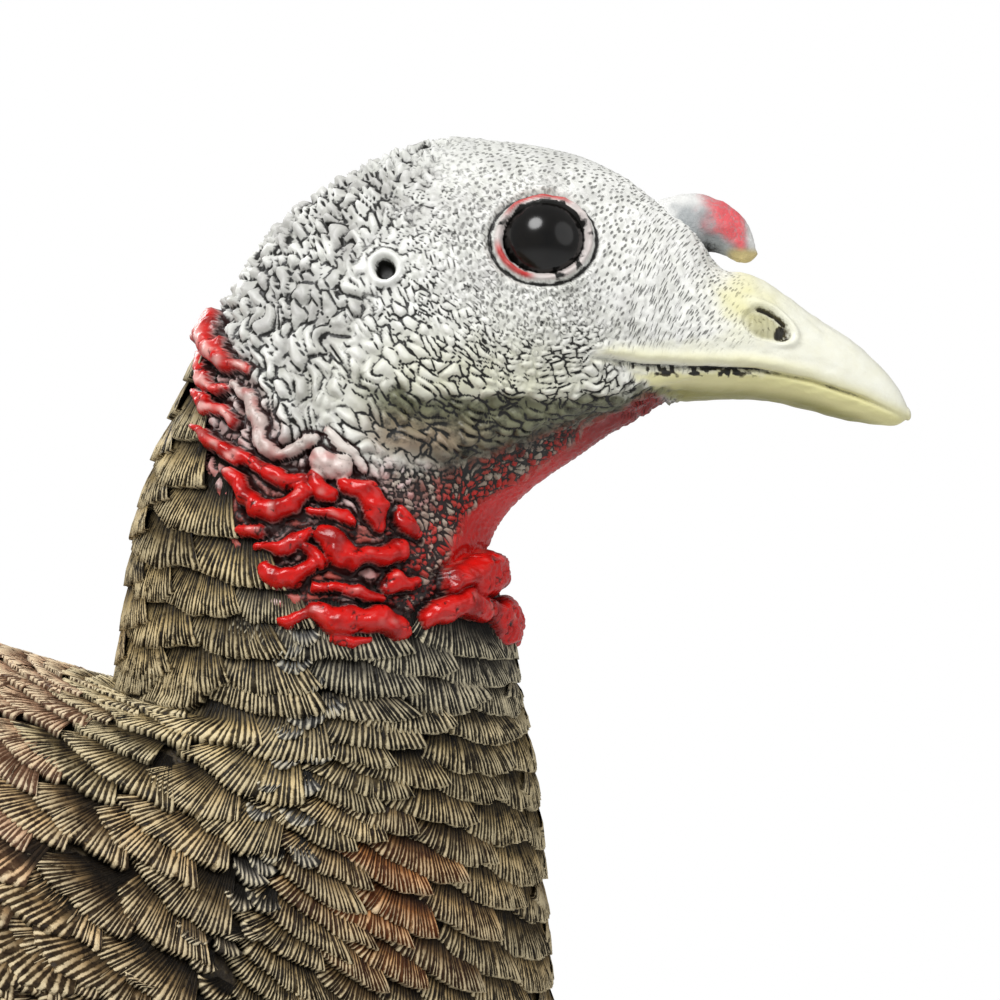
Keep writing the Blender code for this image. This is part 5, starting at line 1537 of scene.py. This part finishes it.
SNOOD = ((193.0, 495.5, 3.0), (197.4, 497.2, 5.0), (202.0, 499.9, 5.4), (206.6, 500.8, 5.3),
         (210.6, 499.6, 4.5), (213.4, 497.4, 3.4), (215.2, 495.2, 2.2), (215.9, 493.8, 1.1))


def snood_finish():
    f = Finish("snood", 0.4, Specular_IOR_Level=0.45)
    fine = f.texture(1500, 5, 0.65)
    broad = f.texture(300)
    colour = f.mix(f.remap(broad, 0.35, 0.65), linear(172, 176, 177), linear(134, 139, 141))
    # Painted highlight: white over the top.
    colour = f.mix(f.value("top"), colour, linear(228, 228, 225))
    # Painted shade: dark speckles underneath.
    speck = f.plus(f.value("under"), f.stray(fine, 0.9), clamp=True)
    colour = f.mix(f.remap(speck, 0.4, 0.8), colour, linear(24, 24, 22))
    colour = f.mix(f.times(f.value("pink"), f.remap(fine, 0.25, 0.5)), colour, linear(232, 96, 102))
    colour = f.mix(f.value("tip"), colour, linear(214, 196, 140))
    return f.finish(colour, f.remap(fine, 0.3, 0.7, 0.3, 0.5), f.bump(f.plus(fine, broad), 0.0004, 0.8))


def build_snood():
    n, around = 64, 48
    path = spline(np.array(SNOOD), np.linspace(0, len(SNOOD) - 1, n))
    ahead = unit(np.gradient(path[:, :2], axis=0))
    close = np.sqrt(np.clip((n - 1 - np.arange(n)) / 5, 0, 1))[:, None]
    radius = path[:, 2:3] * close
    turn = np.linspace(0, math.tau, around, endpoint=False)[None]
    x = path[:, 0:1] - ahead[:, 1:2] * np.cos(turn) * radius
    z = path[:, 1:2] + ahead[:, 0:1] * np.cos(turn) * radius
    points = np.stack([x, 0.9 * np.sin(turn) * radius, z], -1)
    normal = unit(points - np.stack([path[:, 0], np.zeros(n), path[:, 1]], -1)[:, None])
    lumps = (0.25 * noise(points * 0.6, 130) + 0.1 * noise(points * 1.6, 131)) * close
    q = points + normal * lumps[..., None]
    high = np.cos(turn) + 0 * radius
    low = smooth(-0.35, -0.95, high + 0.25 * noise(q * 0.5, 133))
    pink = smooth(205.5, 211.5, q[..., 0] + 1.5 * noise(q * 0.7, 135)) * smooth(216, 214, q[..., 0])
    pink = pink * smooth(-0.7, -0.1, high + 0.3 * noise(q * 0.6, 134))
    values = {
        # top carries the painted highlight and under the painted shade.
        "top": smooth(0.2, 0.8, high + 0.3 * noise(q * 0.5, 132)) * (1 - pink),
        "under": 0.75 * low * smooth(213.5, 209, q[..., 0]),
        "pink": pink,
        "tip": smooth(496.6, 495.2, q[..., 2]) * smooth(211, 213, q[..., 0]),
    }
    values = {k: v.ravel() for k, v in values.items()}
    grid_mesh("snood_soft", q, snood_finish(), "head", replaces=("snood",), slot="snood_rubber", **values)


build_snood()


# ---- Finishes of the CAD parts ----


def refinish(name, finish):
    """Gives a CAD node that stays in view its own finish."""
    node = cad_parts[name]
    if not node.material_slots:
        node.data.materials.append(finish)
    for slot in node.material_slots:
        slot.link = "OBJECT"
        slot.material = finish


black = plain_finish("black_plastic_grain", (16, 16, 17), (30, 30, 31), 0.42, 700, 0.0002)
nylon = plain_finish("white_nylon_grain", (206, 203, 192), (228, 226, 216), 0.45, 600, 0.00015)
rubber = plain_finish("seal_rubber_grain", (14, 14, 14), (24, 24, 24), 0.6, 800, 0.00015)
steel = plain_finish("drawn_steel", (86, 88, 90), (122, 124, 127), 0.34, 260, 0.00008, 1, (8, 8, 0.6))
bright = plain_finish("bright_steel_grain", (150, 152, 155), (186, 188, 190), 0.24, 1200, 0.00004, 1)
screws = [f"{kind}_screw_{k}" for kind in ("collar", "plug") for k in (1, 2, 3, 4)]
screws += ["tail_screw_left", "tail_screw_right"]
finish_of = {"thrust_washer": nylon, "plug_ring": rubber}
finish_of.update(dict.fromkeys(("stake_lower", "stake_upper", "foot_step"), steel))
finish_of.update(dict.fromkeys(("ferrule_pin", "stake_ferrule", *screws), bright))
finish_of.update(dict.fromkeys(("stop_collar", "collar_thumbscrew", "belly_bushing", "bushing_nut"), black))
finish_of.update(dict.fromkeys(("guide_tube", "crown_cap", "neck_collar", "neck_plug"), black))
for name, finish in finish_of.items():
    refinish(name, finish)


# ---- Floor, light and camera ----


def area_light(name, place, aim, size, power, colour=(1, 1, 1)):
    data = bpy.data.lights.new(name, "AREA")
    data.shape, data.size, data.size_y = "ELLIPSE", size[0], size[1]
    data.energy, data.color = power, colour
    made = bpy.data.objects.new(name, data)
    bpy.context.scene.collection.objects.link(made)
    made.location = place
    made.rotation_mode = "QUATERNION"
    made.rotation_quaternion = (Vector(aim) - Vector(place)).to_track_quat("-Z", "Y")
    return made


def build_stage():
    bpy.ops.mesh.primitive_circle_add(vertices=96, radius=2.6, fill_type="NGON", location=(0, 0, -0.2005))
    floor = bpy.context.object
    floor.name = "floor"
    plain = even_finish("floor", (0.86, 0.86, 0.86), (0.9, 0.9, 0.9), (0.55, 0.7), 60, 0.0004, 0.2, 0.55)
    floor.data.materials.append(plain)
    world = bpy.data.worlds.new("soft_room")
    bpy.context.scene.world = world
    world.use_nodes = True
    tree = world.node_tree
    back = tree.nodes["Background"]
    back.inputs["Color"].default_value = (1, 1, 1, 1)
    # The room looks white but lights the bird softly, so that the lamps shape it.
    seen = tree.nodes.new("ShaderNodeLightPath").outputs["Is Camera Ray"]
    strength = tree.nodes.new("ShaderNodeMapRange")
    strength.inputs["To Min"].default_value, strength.inputs["To Max"].default_value = 0.36, 1
    tree.links.new(seen, strength.inputs["Value"])
    tree.links.new(strength.outputs[0], back.inputs["Strength"])


camera_data = bpy.data.cameras.new("camera")
camera_data.lens, camera_data.sensor_width = 130.0, 36.0
camera_data.clip_start, camera_data.clip_end = 0.01, 60.0
camera = bpy.data.objects.new("camera", camera_data)
bpy.context.scene.collection.objects.link(camera)
camera.location = (0.171, -0.65, 0.451)
camera.rotation_euler = (math.radians(90), 0, 0)
bpy.context.scene.camera = camera

build_stage()
area_light("key", (-0.3, -0.9, 1.5), (0.12, 0, 0.42), (0.8, 0.8), 20)
area_light("front", (1.4, -0.7, 0.9), (0.15, 0, 0.42), (1.5, 1.5), 5)
area_light("back", (-0.8, 1.3, 1.3), (0, 0, 0.35), (0.9, 0.9), 10)
bpy.context.scene.view_settings.view_transform = "Standard"
